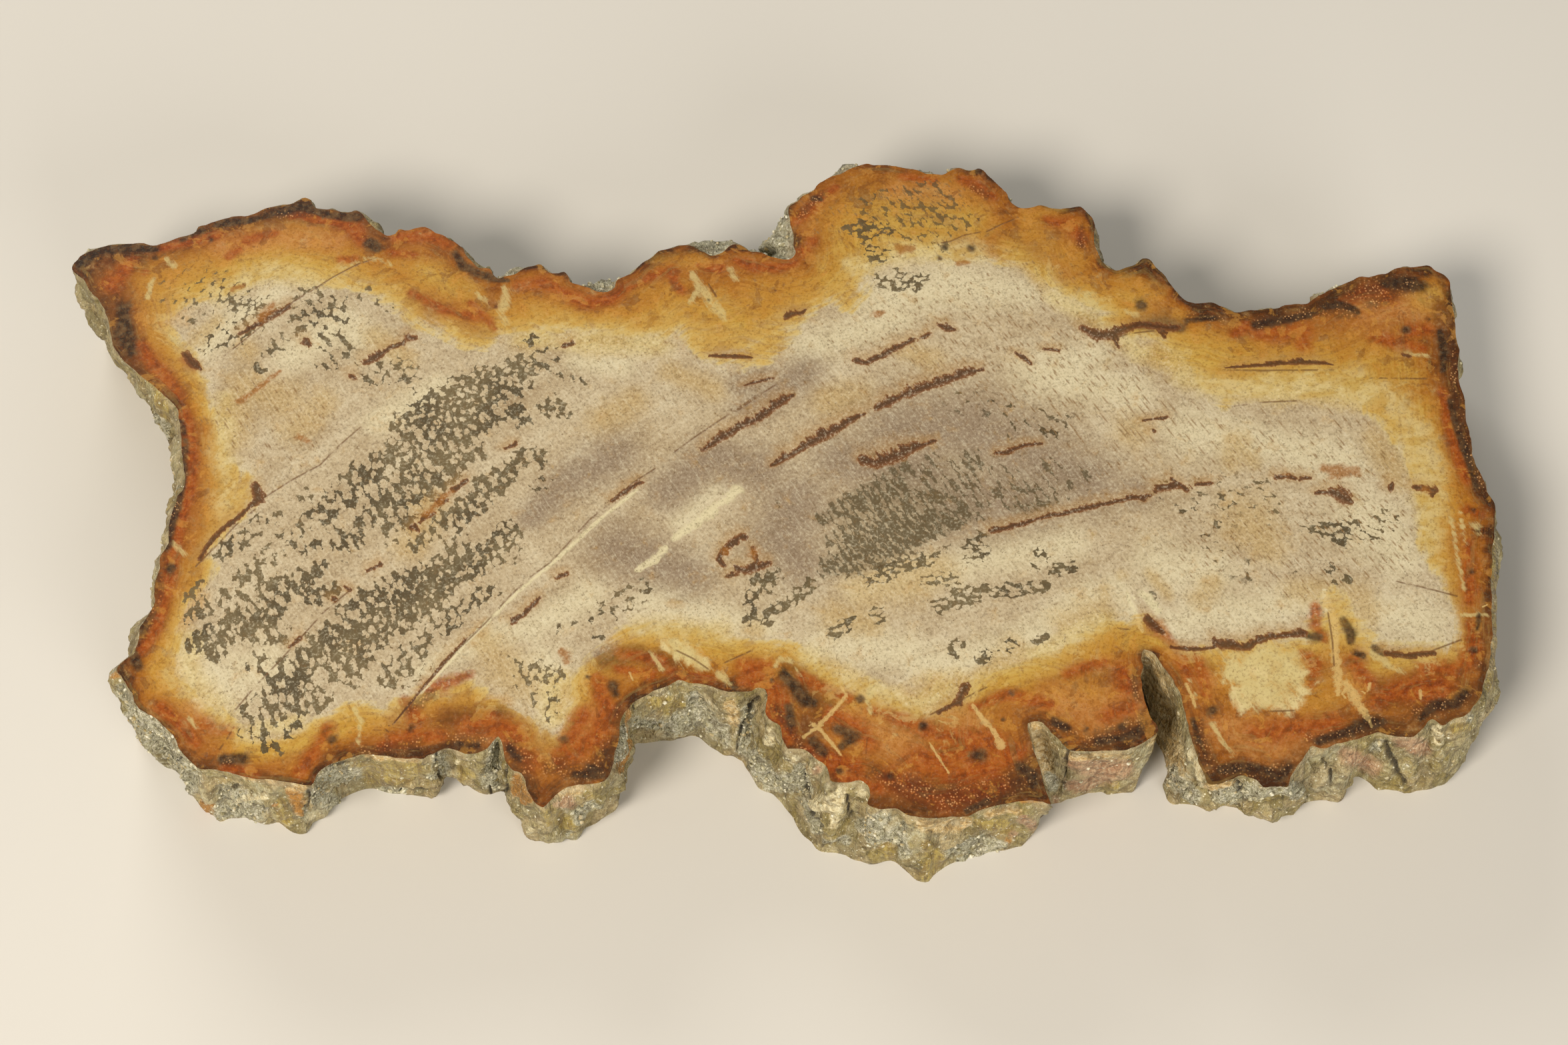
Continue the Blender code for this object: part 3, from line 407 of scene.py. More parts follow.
faceStrokes = {
    "amber": [
        [(-99, 16, 1.5), (-97.5, 8, 2), (-96.5, 2, 2)], [(-112, 50, 3), (-104, 51, 3), (-97, 53, 2.5)],
        [(-109, 42, 3), (-111, 36, 2)], [(-92, 59, 3), (-84, 58, 3)], [(-68, 52, 3), (-60, 48, 3)],
        [(-55, 46, 2), (-53, 41, 1.5)], [(-26, 46.5, 1.6), (-20, 46.3, 1.6)],
        [(-22, 52.5, 1.5), (-15, 53, 1.5)], [(-5, 46, 3), (4, 47, 2.5)],
        [(10, 62, 4), (20, 66, 4), (28, 66, 4), (35, 62, 3)], [(44, 62, 1.6), (50, 64, 1)],
        [(44, 59, 2), (52, 52, 2)], [(60, 49, 2), (66, 46, 1.5)],
        [(74, 36, 2.5), (84, 34.5, 2.5), (94, 35.5, 2.5)], [(100, 35.5, 2), (106, 34, 1.6)],
        [(114.5, 47, 1.8), (115.5, 42, 1.5)], [(110, 16, 2), (112, 10, 2), (113, 5, 2)],
        [(110.5, 2, 1.2), (111, -5, 1.2), (112.5, -10, 1)],
        [(43, -27.5, 1.5), (50, -24.5, 2), (55, -22.5, 1.6)], [(46, -32, 2.5), (51, -32, 2)],
        [(33, -32.5, 1.5), (40, -30, 1.5)], [(20, -33, 2), (26, -35.5, 1)],
        [(8, -27.5, 1.3), (13, -30.5, 1.3)], [(-27, -23, 2), (-24, -25, 2)],
        [(-31, -27, 1.5), (-33, -33, 1.5)], [(-46, -33.5, 1.2), (-53, -33, 1)],
        [(-66, -38, 1.5), (-72, -37.5, 1.5)], [(-79, -40.5, 1.2), (-85, -43, 1.5), (-91, -42, 1)],
        [(-101, -26, 1), (-100, -31, 1.5)], [(-100, -9, 2), (-98, -15, 1.5), (-101, -20, 1.5)],
        [(90, -33, 2), (84, -36, 2)],
    ],
    "pale": [
        [(-49.6, 47, .6), (-49.2, 44.5, .9), (-49.7, 42, .9), (-48.8, 39.5, .6)],
        [(-55, 46.5, .3), (-51.6, 43.6, .4)],
        [(-16.6, 50.3, .5), (-14.5, 47, .9), (-12.5, 43.5, 1.1), (-10.3, 40.6, .6)],
        [(-14.6, 48.4, .4), (-16.6, 44, .4)], [(-9.6, 51, .5), (-8.3, 48.5, .6)],
        [(-74.5, 53.2, .6), (-71.5, 53, .4), (-69.5, 51.5, .3)], [(-79, 51, .4), (-76, 52.4, .4)],
        [(-110, 53.2, .4), (-108.4, 51.4, .6)], [(-112, 49, .4), (-112.6, 45, .5)],
        [(-108, 37.4, .4), (-104.6, 33.6, .4)], [(-103.5, -3.6, .4), (-102.3, -5, .5), (-101.2, -6.4, .4)],
        [(-97.8, -36.4, .3), (-96.3, -38, .3)], [(-70.8, -34.6, .4), (-69.6, -37, .5), (-69.6, -40.5, .4)],
        [(-55.2, -32.5, .4)], [(-1.6, -27.2, .4), (-.6, -25.6, .5), (1.2, -26, .4)],
        [(-19, -22.4, .9), (-17, -24.2, 1.7), (-14.6, -26, 1.7), (-12.6, -27.3, .6)],
        [(-22, -24, .25), (-20.4, -27.5, .3)], [(-10.6, -28.4, .6), (-8.6, -30.4, .4)],
        [(14.6, -30.8, .5), (13.9, -33.5, .6), (14.2, -35.6, .3)], [(1, -26, .2), (3, -30, .2)],
        [(74, -27, 2), (76.4, -30.5, 2.6), (80, -31.5, 3.2), (83.4, -28.4, 3)],
        [(75, -25, 1.5), (80, -25.6, 2.4), (84.6, -25, 1.6)],
        [(97.8, -24.6, .7), (100.5, -27, .7), (103, -28.3, .3)],
        [(70.4, -37.4, .5), (71.5, -40, .4), (73.2, -43.4, .3)], [(67, -29, .2), (68, -33, .25)],
        [(62, 41.5, .6), (60, 42.3, .4)], [(53.5, 45.5, 1.2), (55, 43, 1)],
        [(112.5, 33, .4), (108.5, 33.6, .3)], [(110, -23, .5), (101, -22.6, .4)],
        [(113.4, 1, .3), (113.7, -6, .4), (114.3, -13, .3)], [(115, 3, .2), (115.4, -5, .25)],
        [(117.3, -1, .8), (118.2, -2.2, .5)], [(-57.5, -37.8, .3)], [(113.4, -17.6, .3), (117.6, -17.4, .3)],
        [(90.7, 29.4, .2), (96, 29.4, .2)],
    ],
    "orange": [  # broad burnt ground
        [(-100.4, 18, 1.8), (-99.6, 8, 2.2), (-100, -2, 2), (-101, -12, 1.8)],
        [(-5, -28, 2.5), (2, -33, 4), (9, -39, 6), (18, -43, 7), (28, -44, 8), (36, -41, 6)],
        [(44, -31, 4), (50, -32, 6), (56, -28, 3)], [(20, -37, 2), (30, -37, 3), (40, -34, 3)],
        [(66, -27, 3), (69, -36, 4), (76, -40, 5), (88, -38, 4), (96, -33, 5), (108, -31, 6)],
        [(-29, -31, 2.5), (-31, -38, 4), (-36, -44, 5), (-43, -44, 3)],
        [(-44, -38, 2.5), (-52, -37, 3.5), (-60, -37, 3.5), (-68, -41, 2)],
        [(-76, -42, 2), (-86, -46, 1.5), (-95, -41, 2.5), (-102, -34, 2)],
        [(115, -3, 2.2), (115, -12, 2.4), (115, -24, 3)], [(95, -27, 3), (88, -27, 2)],
        [(112, 40, 4), (104, 45, 4), (108, 36, 3), (96, 40, 3), (86, 38, 2.6), (76, 39, 1.6)],
        [(114.6, 28, 1.6), (115.6, 18, 1.6), (117.6, 8, 1.4)],
        [(-120, 49, 2.5), (-114, 40, 4), (-112, 34, 3), (-107, 27, 2)],
        [(-104, 18, 1.8), (-103.4, 6, 2), (-104, -8, 2.4), (-105, -20, 2.4)],
        [(-104, 57, 2), (-92, 60, 2.6), (-80, 60, 3), (-74, 58, 2)],
        [(-66, 57, 2.4), (-60, 55, 2), (-54, 51, 1.6)], [(-62, 44, 3), (-54, 41, 2)],
        [(-42, 47, 2.4), (-34, 44.5, 2), (-26, 48, 1.6), (-18, 51, 1.4), (0, 52, 1.4), (5, 57, 1.6),
         (4, 63, 2.4), (9, 68, 1.4)], [(34, 68, 2), (38, 64, 1.4)], [(48, 60, 2.4), (53, 57, 1.6)],
        [(32, 56, 3), (42, 56, 2.4), (50, 51, 2.4)], [(66, 43.6, 2.4)],
    ],
    "honey": [  # brighter yellow parts of the band
        [(8, 50, 2.4), (12, 56, 4), (18, 61, 5), (26, 62, 5), (33, 61, 3)],
        [(-104, 47, 2.4), (-98, 50.6, 2.6), (-90, 53, 2.6), (-82, 51, 2.4)], [(-63, 50, 2.2), (-57, 46.6, 2)],
        [(66, 33, 3), (76, 32, 4), (86, 28, 3.6), (96, 28, 3.6), (104, 27, 4), (108, 30, 3)],
        [(110, 22, 2.6), (110.6, 14, 2.6), (110.6, 6, 2.4), (110, -2, 1.6)], [(112, 44, 2), (114.4, 46, 1.4)],
        [(-12, 43, 2.4), (-8, 40, 2)], [(40, 56, 2), (46, 50, 2)],
        [(24, -31, 2.4), (34, -30, 2), (44, -26, 2)], [(-16, -22, 2.4), (-8, -24, 1.8)],
        [(-88, -42, 1.6), (-80, -41, 1.4), (-70, -37, 1.4)], [(58, -22.5, 1.6), (62, -22, 1.2)],
        [(98, -26.6, 1.4), (106, -25.4, 1.6)], [(-36, -30, 1.6), (-37, -36, 1.2)],
    ],
    "apricot": [  # lighter orange
        [(45, -33, 2.6), (52, -36, 4), (57, -34, 2.6)], [(72, -38, 2.6), (80, -40, 4), (88, -39, 3)],
        [(102, 42, 2.6), (110, 43, 3)], [(12, -37, 3), (20, -41, 3)], [(30, -38, 3)],
        [(20, 68, 2), (30, 67, 2)], [(-100, 55.4, 2), (-90, 57.4, 2.2), (-80, 57, 2)],
        [(-46, -41, 2), (-52, -39, 2)], [(-32, -37, 2)], [(95, -30, 2)], [(-97, -34.6, 2)], [(70, -30, 1.6)],
    ],
    "umber": [  # deeper brown
        [(-106, -18, 2.2), (-105.4, -8, 2.4), (-104.6, 0, 2.4), (-103.8, 8, 2.4), (-104.2, 16, 2.2),
         (-105.4, 22, 1.8)], [(-30, -26, 2), (-24, -25, 1.8), (-18, -26.6, 1.4)],
        [(0, -28, 2), (3, -31, 3), (6, -35, 2.6), (4, -38, 2)],
        [(62, 39.6, 1.2), (66, 39.8, 1.7), (70, 39, 1)], [(99, -32, 2.4), (105, -31, 3), (110, -30, 2.4)],
        [(-47, -36, 1.8), (-50, -36.4, 2.2), (-56, -37, 1.8)],
        [(115.8, 43, 1.2), (116.2, 36, 1.7), (116, 28, 1.7), (116.8, 20, 2), (117.6, 12, 1.7),
         (118.8, 6, 1.2)],
        [(-121, 52, 1.6), (-114, 55.6, 1.4), (-106, 58.6, 1.4), (-98, 61, 1.4), (-88, 63.6, 1.6),
         (-80, 62.6, 1.6), (-75, 58, 1.6)], [(-118, 47, 1.6), (-116, 40, 2), (-113, 33, 1.6)],
        [(115.4, -20, 1.6), (115, -26, 1.6)], [(20, -49, 1.6), (28, -50.6, 1.8), (36, -48, 1.6)],
    ],
    "brightRim": [  # rim without a dark edge
        [(3, 61, 2), (7, 68, 2), (16, 71.5, 2.2), (24, 71.5, 2.2), (32, 70.5, 2.2), (38, 66, 2)],
        [(44, 62, 2), (52, 60, 2), (55, 55, 2)],
        [(-52, 49, 1.5), (-44, 49, 1.6), (-36, 46, 1.5), (-26, 49, 1.6), (-16, 52.5, 1.6), (-6, 53, 1.6),
         (1, 53, 1.6)], [(60, 47, 1.6), (70, 42, 1.5)], [(-66, 59, 1.5), (-60, 57.6, 1.5)],
        [(114, 48, 1.4), (116, 44, 1.2)],
    ],
    "straw": [  # palest yellow inside the band
        [(70, 28, 1.8), (78, 26.6, 2.4), (90, 26.6, 2.4), (100, 26.4, 3), (106, 24, 3)],
        [(108.6, 18, 2.8), (110.8, 10, 2.6), (110, 2, 2.2), (109.4, -4, 1.6)],
        [(62, 34, 1.8), (54, 40.6, 1.6), (48, 45, 1.6)],
        [(-46, 36.4, 1.8), (-38, 36, 1.8), (-30, 36, 2), (-22, 35, 2)],
        [(-97, 24, 1.6), (-96.4, 14, 2), (-95, 4, 2)], [(-99, -22, 1.8), (-98, -29, 2), (-92, -36, 1.8)],
        [(-88, -39, 1.4), (-80, -37, 1.4)], [(-38, -30, 2), (-38.4, -36, 1.6)],
        [(-24, -19.6, 1.6), (-10, -20.4, 1.6)],
        [(4, -25, 1.6), (14, -31, 1.6), (22, -34, 1.8), (30, -31, 1.6)], [(42, -24.6, 1.4), (54, -18, 1.4)],
        [(12, 52, 2), (22, 55, 2), (34, 54.6, 2)], [(-100, 46, 1.8), (-92, 50.6, 1.8), (-84, 48.6, 1.8)],
    ],
    "darkRim": [  # rim with a wider dark edge
        [(-126, 52, 1.6), (-118, 55.6, 1.8), (-108, 58.6, 1.8), (-98, 61.6, 1.8), (-88, 64.4, 1.8),
         (-80, 63.4, 1.8), (-74, 60, 1.6)],
        [(-124, 50, 1.6), (-119, 44, 2), (-116, 37, 2), (-112, 31, 2), (-107.6, 26, 2), (-105.2, 19, 2.8),
         (-104.6, 10, 3.2), (-105.2, 2, 3.4), (-106, -6, 3.2), (-107, -14, 3), (-109, -22, 2.2),
         (-108, -28, 1.8)],
        [(117, 44, 1.8), (117.4, 36, 1.8), (117.4, 28, 2), (118, 20, 2.2), (119.4, 12, 2.2), (120.6, 5, 2)],
        [(74, 42.6, 1.6), (84, 41.6, 1.8), (95, 45, 1.8), (106, 49, 1.8), (113, 49, 1.6)],
        [(16, -50, 2), (24, -53, 2), (34, -52, 2), (41, -49, 1.8)],
        [(71, -47, 1.6), (80, -48, 2), (86, -42, 1.8), (96, -39.4, 2), (108, -36, 2), (114, -32, 1.8)],
        [(119, -14, 1.4), (117, -26, 1.6)],
        [(-64, -43.4, 1.4), (-54, -42.6, 1.6), (-44, -47, 1.8), (-36, -48, 1.8), (-28, -43, 1.6),
         (-27, -36, 1.4)], [(-3, -34, 1.6), (0, -40, 1.6), (6, -46, 1.6)], [(50, -42, 1.4), (57, -40, 1.4)],
        [(-94, -45, 1.4), (-84, -48, 1.4)],
    ],
    "island": [
        [(76, -28, 3.1), (84, -28, 3.1)], [(77, -31.2, 3), (82.6, -31.6, 3)],
        [(-19.4, -22.6, 1), (-16.6, -24.4, 1.8), (-13.8, -26.4, 1.2)],
    ],
    "pallor": [  # the palest cream
        [(-97, -28, 4), (-92, -30, 5), (-86, -27, 4)], [(-96, -35, 2), (-92, -33, 3)],
        [(-60, -28, 1.5), (-50, -22, 2), (-42, -20, 2.5), (-33, -14, 3)], [(-40, -27, 4), (-38, -35, 2)],
        [(-102, 34, 2), (-97, 40, 3), (-90, 46, 2)], [(-86, 33, 3), (-78, 40, 3), (-72, 35, 3)],
        [(-22, -15, 3), (-12, -18, 3), (-3, -20, 2)],
        [(6, -23, 3), (16, -24, 4), (28, -27, 3), (40, -22, 3), (52, -14, 3)], [(56, -12, 2), (58, -17, 1.5)],
        [(66, -19, 3), (78, -17, 4), (86, -15, 3)], [(70, 18, 4.4), (84, 15, 3.2), (96, 12, 4)],
        [(60, 26, 3.4), (44, 29, 4.4), (54, 33, 3)], [(100, -18, 4), (107, -19, 4)],
        [(16, 44, 4), (30, 48, 5), (42, 46, 3)], [(100, 0, 6), (104, -6, 4)], [(63, -8, 4), (72, -10, 4)],
        [(12, -13, 2), (30, -8, 3), (48, -4, 3)], [(-70, 20, 2.5), (-60, 27, 2)],
        [(-12, 6, 1.5), (-18, 0, 1.5)], [(-93, 8, 2.5)], [(4, 35, 3), (20, 41, 3)],
        [(-28, 31, 2), (-36, 32, 2)],
    ],
    "sienna": [
        [(-4, -30, 1.2), (-2, -35, 1.4), (1, -40, 1.2)], [(4, -42, 1), (10, -47, 1.2), (16, -49, 1)],
        [(-27, -24.6, .9), (-20, -26, .8)], [(26, -46, 1.6), (34, -46, 1.8)], [(14, -35, .8), (20, -37, .7)],
        [(-33, -36, 1.6), (-37, -44, 1.6)], [(-56, -39.6, 1), (-64, -40, 1)],
        [(-111, 55.4, .7), (-106, 57, 1.1), (-101, 58.3, .9)],
        [(-99, 53.5, .8), (-95.5, 57.4, 1), (-91, 58.6, .7)],
        [(-88, 62.5, 1), (-82, 61.2, 1.2), (-77, 60, 1.5), (-75.5, 57, 1.2)],
        [(-79, 53, .8), (-76.5, 53, .9)], [(-69, 57.6, 1.2), (-64, 58.2, 1.3), (-60, 56.2, 1.1)],
        [(-70, 54.5, 1), (-66, 54, .8)], [(-66, 46, .8), (-60, 42.5, .9), (-54, 41, 1)],
        [(-55.5, 44, .6), (-52, 40.3, .9), (-51, 38.5, .5)],
        [(-47, 47.7, 1.1), (-43, 48.2, 1.5), (-40, 46.7, 1), (-36.5, 44.6, 1.5), (-34, 43.8, 1.2),
         (-30.5, 44.7, 1.1), (-28.5, 46.8, 1), (-25, 48.6, .9), (-22, 50.5, .9)],
        [(-20, 50.8, 1.2), (-19.2, 48, .8), (-18, 46.3, 1)],
        [(-15.3, 51.8, .5), (-12, 50.8, .9), (-11, 51.6, .6)],
        [(-8.3, 52.8, .9), (-5, 51.4, 1.1), (-1, 51.3, 1), (2, 52.4, .8)], [(3.4, 54.7, 1.3)],
        [(5.2, 57, 1.1)], [(2.2, 61.3, .9), (4.3, 63.2, 1.2), (6.6, 66.2, 1)],
        [(8, 67.4, .9), (9.5, 68.6, .6)], [(21.5, 70.8, .9), (27, 70, .9)],
        [(32, 70.3, 1), (35, 68.6, 1.3), (37.5, 66.5, 1)],
        [(47, 61.6, .8), (51.5, 60.5, 1.4), (53.4, 57.5, 1.4)], [(81, 39, 1.2), (79, 37.4, 1)],
        [(84, 38, 2), (91, 38, 2), (91, 35, 1.5)], [(99, 44, 1), (104, 47, 1.3), (107, 45, 1.5)],
        [(104, 36.5, 1.4), (109, 35.3, 1.4), (112, 34.6, 1)], [(110, 38, 1.5), (113, 38.5, 1.2)],
        [(114.4, 26, .7), (114.8, 20, 1), (115.3, 14, 1.2), (116.8, 8, .8)],
        [(116.4, 2.4, 1.2), (118.6, 1.6, .7)],
        [(115.7, -4, .8), (115.6, -8, 1.4), (115.2, -13, 1.3), (114.8, -15, .8)],
        [(114.5, -19, .9), (114.6, -24, 1.3), (112, -27.5, 1.5), (106, -27.5, 1.2)],
        [(108, -31, 3), (101, -31.5, 2), (97.5, -33.5, 1.2)],
        [(89, -16, .8), (88.6, -19.5, 1), (90, -22, .7)], [(86, -24.5, .8), (88, -26.5, 1.4), (87, -30, 1)],
        [(94.5, -26, 1.4), (96.5, -30, 1.4)], [(84, -38, 2), (90, -37.5, 2), (78, -39, 2)],
        [(68.3, -25, .8), (69.2, -28.5, 1), (69.6, -32, .8)],
        [(62, -19.6, 1.2), (64, -22, .9), (66, -26, 1), (67, -29, .8)], [(56, -28, 1.5), (56.4, -31, 1.4)],
        [(47, -28.5, 1), (53, -26, 1)], [(57, -34.5, 1.2), (53, -36, 1.4)],
        [(18, -36, 1.2), (24, -39, 1.6), (34, -41, 2.5), (22, -44, 2.5), (28, -47, 3), (38, -42.5, 1.6)],
        [(17, -47, 2), (26, -51, 2), (35, -48.5, 1.6)], [(31, -34.5, .7), (37, -32, 1.1), (44, -34, 1)],
        [(8, -36, 1.6), (12, -38, 1.6), (14, -41, 1.4)], [(8.5, -44.4, 1.6), (12, -45, 1.3), (6, -42.5, 1.1)],
        [(-3, -27.3, 1.4), (-7, -26.6, 1.3), (-1.5, -31.5, 1.2), (.3, -34, 1), (-.8, -36.6, .7),
         (1, -39.6, .8)], [(3, -29, 1), (7, -31, 1.2), (11, -33, .9)],
        [(-18.6, -28.3, .9), (-15, -29, .9), (-12, -29.3, .7)], [(-7, -29.6, .8), (-4.6, -30.3, .6)],
        [(-31, -29.8, 1.6), (-29, -35, 1.4), (-31, -40, 2), (-35, -43, 2)],
        [(-27.5, -27.5, .9), (-22, -28.5, 1)], [(-43, -40, 1.6), (-46, -38, 1.6), (-52, -38, 1.6)],
        [(-48.5, -36.5, 1.3), (-41, -44.5, 1.5)], [(-58.5, -31, 1.4), (-54.5, -29.6, 1.2), (-52, -28.4, .7)],
        [(-62.5, -33.5, 1), (-60, -36.5, 1.2), (-61, -39.5, 1.5), (-66, -41.5, 1)],
        [(-75, -38.5, 1.4), (-76.5, -42, 1.2), (-79, -46, 1.2)], [(-91, -45.3, .9), (-86, -46.3, .8)],
        [(-102.6, -34.4, 1), (-99, -37.6, 1), (-96, -41, .9)], [(-95, -37.3, 1.6), (-91, -38.5, 1.2)],
        [(-106.6, -24, 1), (-104.6, -20, .9), (-104, -14, 1.2), (-103.4, -9, 1.2), (-102.7, -4, 1),
         (-102.7, 0, 1.1), (-101.6, 6, 1.1), (-101.6, 12, 1.2), (-103, 18, 1.2), (-104, 22, 1)],
        [(-105, 25, 1), (-107.5, 28.5, 1.1), (-110.5, 31.5, 1.1), (-112.5, 35, 1.2), (-111.6, 33, 1.2)],
        [(-104.8, 32.4, 1), (-103, 31, .7)], [(-119, 48, 2), (-116, 52.5, 1.2)], [(-113.5, 50.5, .8)],
    ],
    "dusk": [
        [(-125.5, 52.3, .9), (-122, 55, .8), (-117, 55.5, .9), (-112, 55.3, .6)],
        [(-107.5, 57.3, .5), (-104, 59.3, .6)],
        [(-101.6, 60.4, .7), (-98.5, 61, .8), (-95, 61.5, .6), (-91, 63.3, .9), (-86.5, 64.3, 1.1),
         (-82, 62.6, .7), (-78, 62, .9), (-76.5, 62, 1)], [(-74, 56.6, 1.2), (-72.5, 55.5, .9)],
        [(-102.5, 57.3, .6)],
        [(-58.6, 54.3, .8), (-57, 51.5, .9), (-54, 50, 1), (-51.5, 49, .9), (-49, 48.7, .4)],
        [(5.2, 66.3, .6), (6.6, 66, .5)], [(-116.6, 43, 1.2), (-116, 37.5, 1.8), (-114.6, 34, 1.2)],
        [(-112, 53.4, .6)], [(-108.3, -24, .5), (-107, -27, .9)], [(-107.2, -19, .7), (-106.4, -16.6, .5)],
        [(-104.6, -4.6, .9), (-104.2, -1, .9), (-103.4, 3.4, .7), (-102.8, 8, .6), (-103.2, 16, .6),
         (-104.4, 20, .6)], [(-103.5, -8.6, 1)], [(-106, -10, .6), (-106.4, -15, .7), (-107.6, -21, .9)],
        [(-91.6, -43.6, 1), (-88.6, -43.8, 1)], [(-74, -40.3, .9)], [(-61, -38.4, .6)],
        [(-28.2, -30.6, 1.1), (-27.8, -32, .9)], [(-32.4, -29, .5)], [(-36, -40.2, .8)],
        [(-43.5, -43.6, .9), (-45, -41.5, .6)], [(-31.3, -45.4, .8), (-29.8, -46.5, .8), (-34.2, -46.4, .6)],
        [(-29, -42.5, .6)], [(-50, -41.3, .6), (-53.6, -41, .5)], [(-8.3, -30.8, .5)], [(-2, -29.6, .5)],
        [(0, -28.3, .9), (1.6, -30, .9), (3.4, -33.5, 1.2), (4.6, -33.6, .9)],
        [(.9, -34.6, .9), (1.2, -37.6, .8)], [(9, -38.4, 1), (11.5, -39.6, 1.1), (9.4, -41.5, .8)],
        [(4.6, -40.6, .8), (6.5, -42.5, .9)], [(9, -45.8, .7)], [(12.4, -33, .8)], [(17.3, -46.7, .8)],
        [(22.7, -37.8, .8)], [(37.7, -31.8, .6)], [(36, -36.6, .5)], [(32, -43, 1.4)],
        [(38.5, -45, .9), (40.2, -46.5, 1), (40.6, -48.5, .7)], [(33, -51.2, .6), (29.6, -52.8, .5)],
        [(44.2, -36.8, .8), (46.5, -38.2, .7)], [(49.6, -38.4, .5)],
        [(51.4, -40.6, .8), (55.5, -40, .6), (58.5, -38.5, .8)], [(55.4, -38, .7)], [(70.5, -35, 1)],
        [(71, -45.6, .7), (74.5, -45, .8), (78, -45.5, .8), (80.5, -47.2, .9), (82.5, -45, .5)],
        [(67.2, -36.6, .5), (67.8, -40.5, .5)],
        [(87.5, -40.6, .8), (92, -39, .8), (95, -37.5, 1.2), (98, -37.2, 1)],
        [(104.5, -36.5, .5), (107, -34.2, .9), (110.5, -33.8, 1), (112.6, -31.6, .8)], [(116, -9.4, .7)],
        [(116.2, -17.6, .5), (115.6, -20.6, .4)], [(114.6, -24, .7)], [(117.4, 2.4, .6)],
        [(93.4, -18.4, .7), (94.6, -20.6, 1), (94.2, -22.6, .6)], [(96, -25, .6), (94.4, -24.4, .4)],
        [(88.8, -21.6, .9), (86.6, -21, .6)], [(98.2, -23.6, .6), (99.6, -24.8, .4)],
        [(115.3, 38, .5), (115.6, 34, .7), (115, 30, .6)],
        [(115.7, 24, .6), (116.1, 19, .7), (117, 15, .7), (117.9, 9.5, .5), (118.4, 6.6, .6)],
        [(106.6, 48, 1), (110, 48.2, 1.5), (112.8, 47.5, 1.3)],
        [(95.4, 43.2, .8), (98.6, 43.7, .8), (101.4, 42, .6)],
        [(83, 39.4, .9), (86, 40, 1), (90.5, 40.8, .6), (93.5, 41.8, .5)], [(71, 40.2, .5), (76, 40.8, .5)],
        [(109.3, 38.4, .9)], [(113.4, 40.6, .5)], [(62, 39.2, .6), (66.5, 39.8, 1.1), (69.6, 38.8, .8)],
        [(33.4, 55.4, .8)], [(28.7, 55.6, .7)], [(27.6, 53.4, .6)], [(63, 43.6, 1.1)], [(-13.3, 44.6, 0.1)],
    ],
    "mauve": [
        [(20, 18, 7), (32, 19, 8), (42, 13, 8), (52, 8, 6)], [(2, 4, 6), (0, -3, 6), (3, -8, 4)],
        [(10, 12, 5), (24, 10, 6)], [(30, 4, 7), (42, 5, 6)], [(-29, 13, 4), (-37, 8, 3.4), (-43, 1, 2.4)],
        [(-20, 6, 3.6), (-12, 13, 4), (-4, 10, 4.6)], [(60, 6, 3)], [(-7, 27, 2.5), (-3, 29, 2)],
        [(4, 30, 3), (-6, 22, 3)], [(-28, -5, 5), (-16, -10, 4)],
    ],
    "ochre": [
        [(78, 15.6, 1.8), (80.4, 12, 1.5)], [(-84, 19, 3.4), (-80, 24, 2.4)], [(78, 16, 2.2), (77, 12, 2)],
        [(14, -13, 4), (21, -11, 4), (26, -9, 3)], [(-87, 24, 4), (-94, 27, 3), (-95, 16, 3)],
        [(-34, 36, 3), (-28, 39, 3), (-22, 39, 3)], [(-45, 36, 3)], [(-12, 26, 2), (-20, 30, 2)],
        [(8, 24, 3), (13, 25, 3)], [(26, 32, 2.5), (22, 34, 2)],
        [(66, 34, 3), (80, 28, 3), (92, 27, 3), (99, 25, 3)], [(-31, 20, 3), (-26, 24, 2.5)],
        [(102, 16, 2.5), (105, 8, 2)], [(86, -13, 2.5), (97, -14, 2.5), (98, -18, 2)],
        [(79, 0, 5), (82, -5, 3)], [(-50, -22, 2), (-46, -28, 4), (-42, -31, 3)], [(60, 18, 3)],
        [(-63, -4, 3), (-60, 3, 3)], [(72, -12, 2), (70, -14, 2)], [(9, -18, 3), (15, -19, 2)],
        [(-5, -20, 2)], [(38, -24, 2.5), (33, -28, 1.5)], [(41, 55, 1), (46, 48, 1.5)], [(57, -10, 1)],
        [(47, -19, 2.5), (53, -16, 2.2)], [(54, -12.5, .8), (53.6, -16, .9)],
        [(61.5, -9.5, 1), (64.5, -14, 1)], [(-72, 37, 2), (-66, 32, 2)], [(-103, 36, 1.5), (-100, 40, 1.5)],
        [(-94, 34, 2)],
    ],
    "streak": [
        [(-14, 14.2, .45), (-10.5, 17, .8), (-7, 19.2, .6), (-4, 20.7, .7), (-2.2, 22.6, .8),
         (0, 24.3, .8), (1.6, 25, .25)],
        [(-2.2, 11, .25), (.4, 12.9, .7), (2.4, 14, .5), (4.3, 15.6, .9), (6.4, 17, 1), (9, 18.5, .8),
         (12, 20.4, .5), (14, 21.4, .25)],
        [(15.8, 22.4, .4), (18.2, 23.8, .9), (20.4, 24.9, .4), (21.8, 25.7, 1), (24.2, 26.7, .8),
         (27, 27.7, .8), (30, 28.9, .8), (32, 29.9, .9), (34.6, 30.2, .4)],
        [(12.6, 32.2, .6), (14.2, 31.7, .5), (17.2, 33, .5), (20, 35, .6), (22.6, 36.4, .4)],
        [(25.4, 37.3, .5), (24, 36.6, .3)], [(27.2, 39.4, .3), (28.6, 38.8, .7), (30, 38.4, .25)],
        [(13.6, 12, .8), (16, 11.9, 1.1), (18.2, 12.9, 1.3), (20.4, 13.7, 1.1), (23, 15, .7), (26.3, 16, .2)],
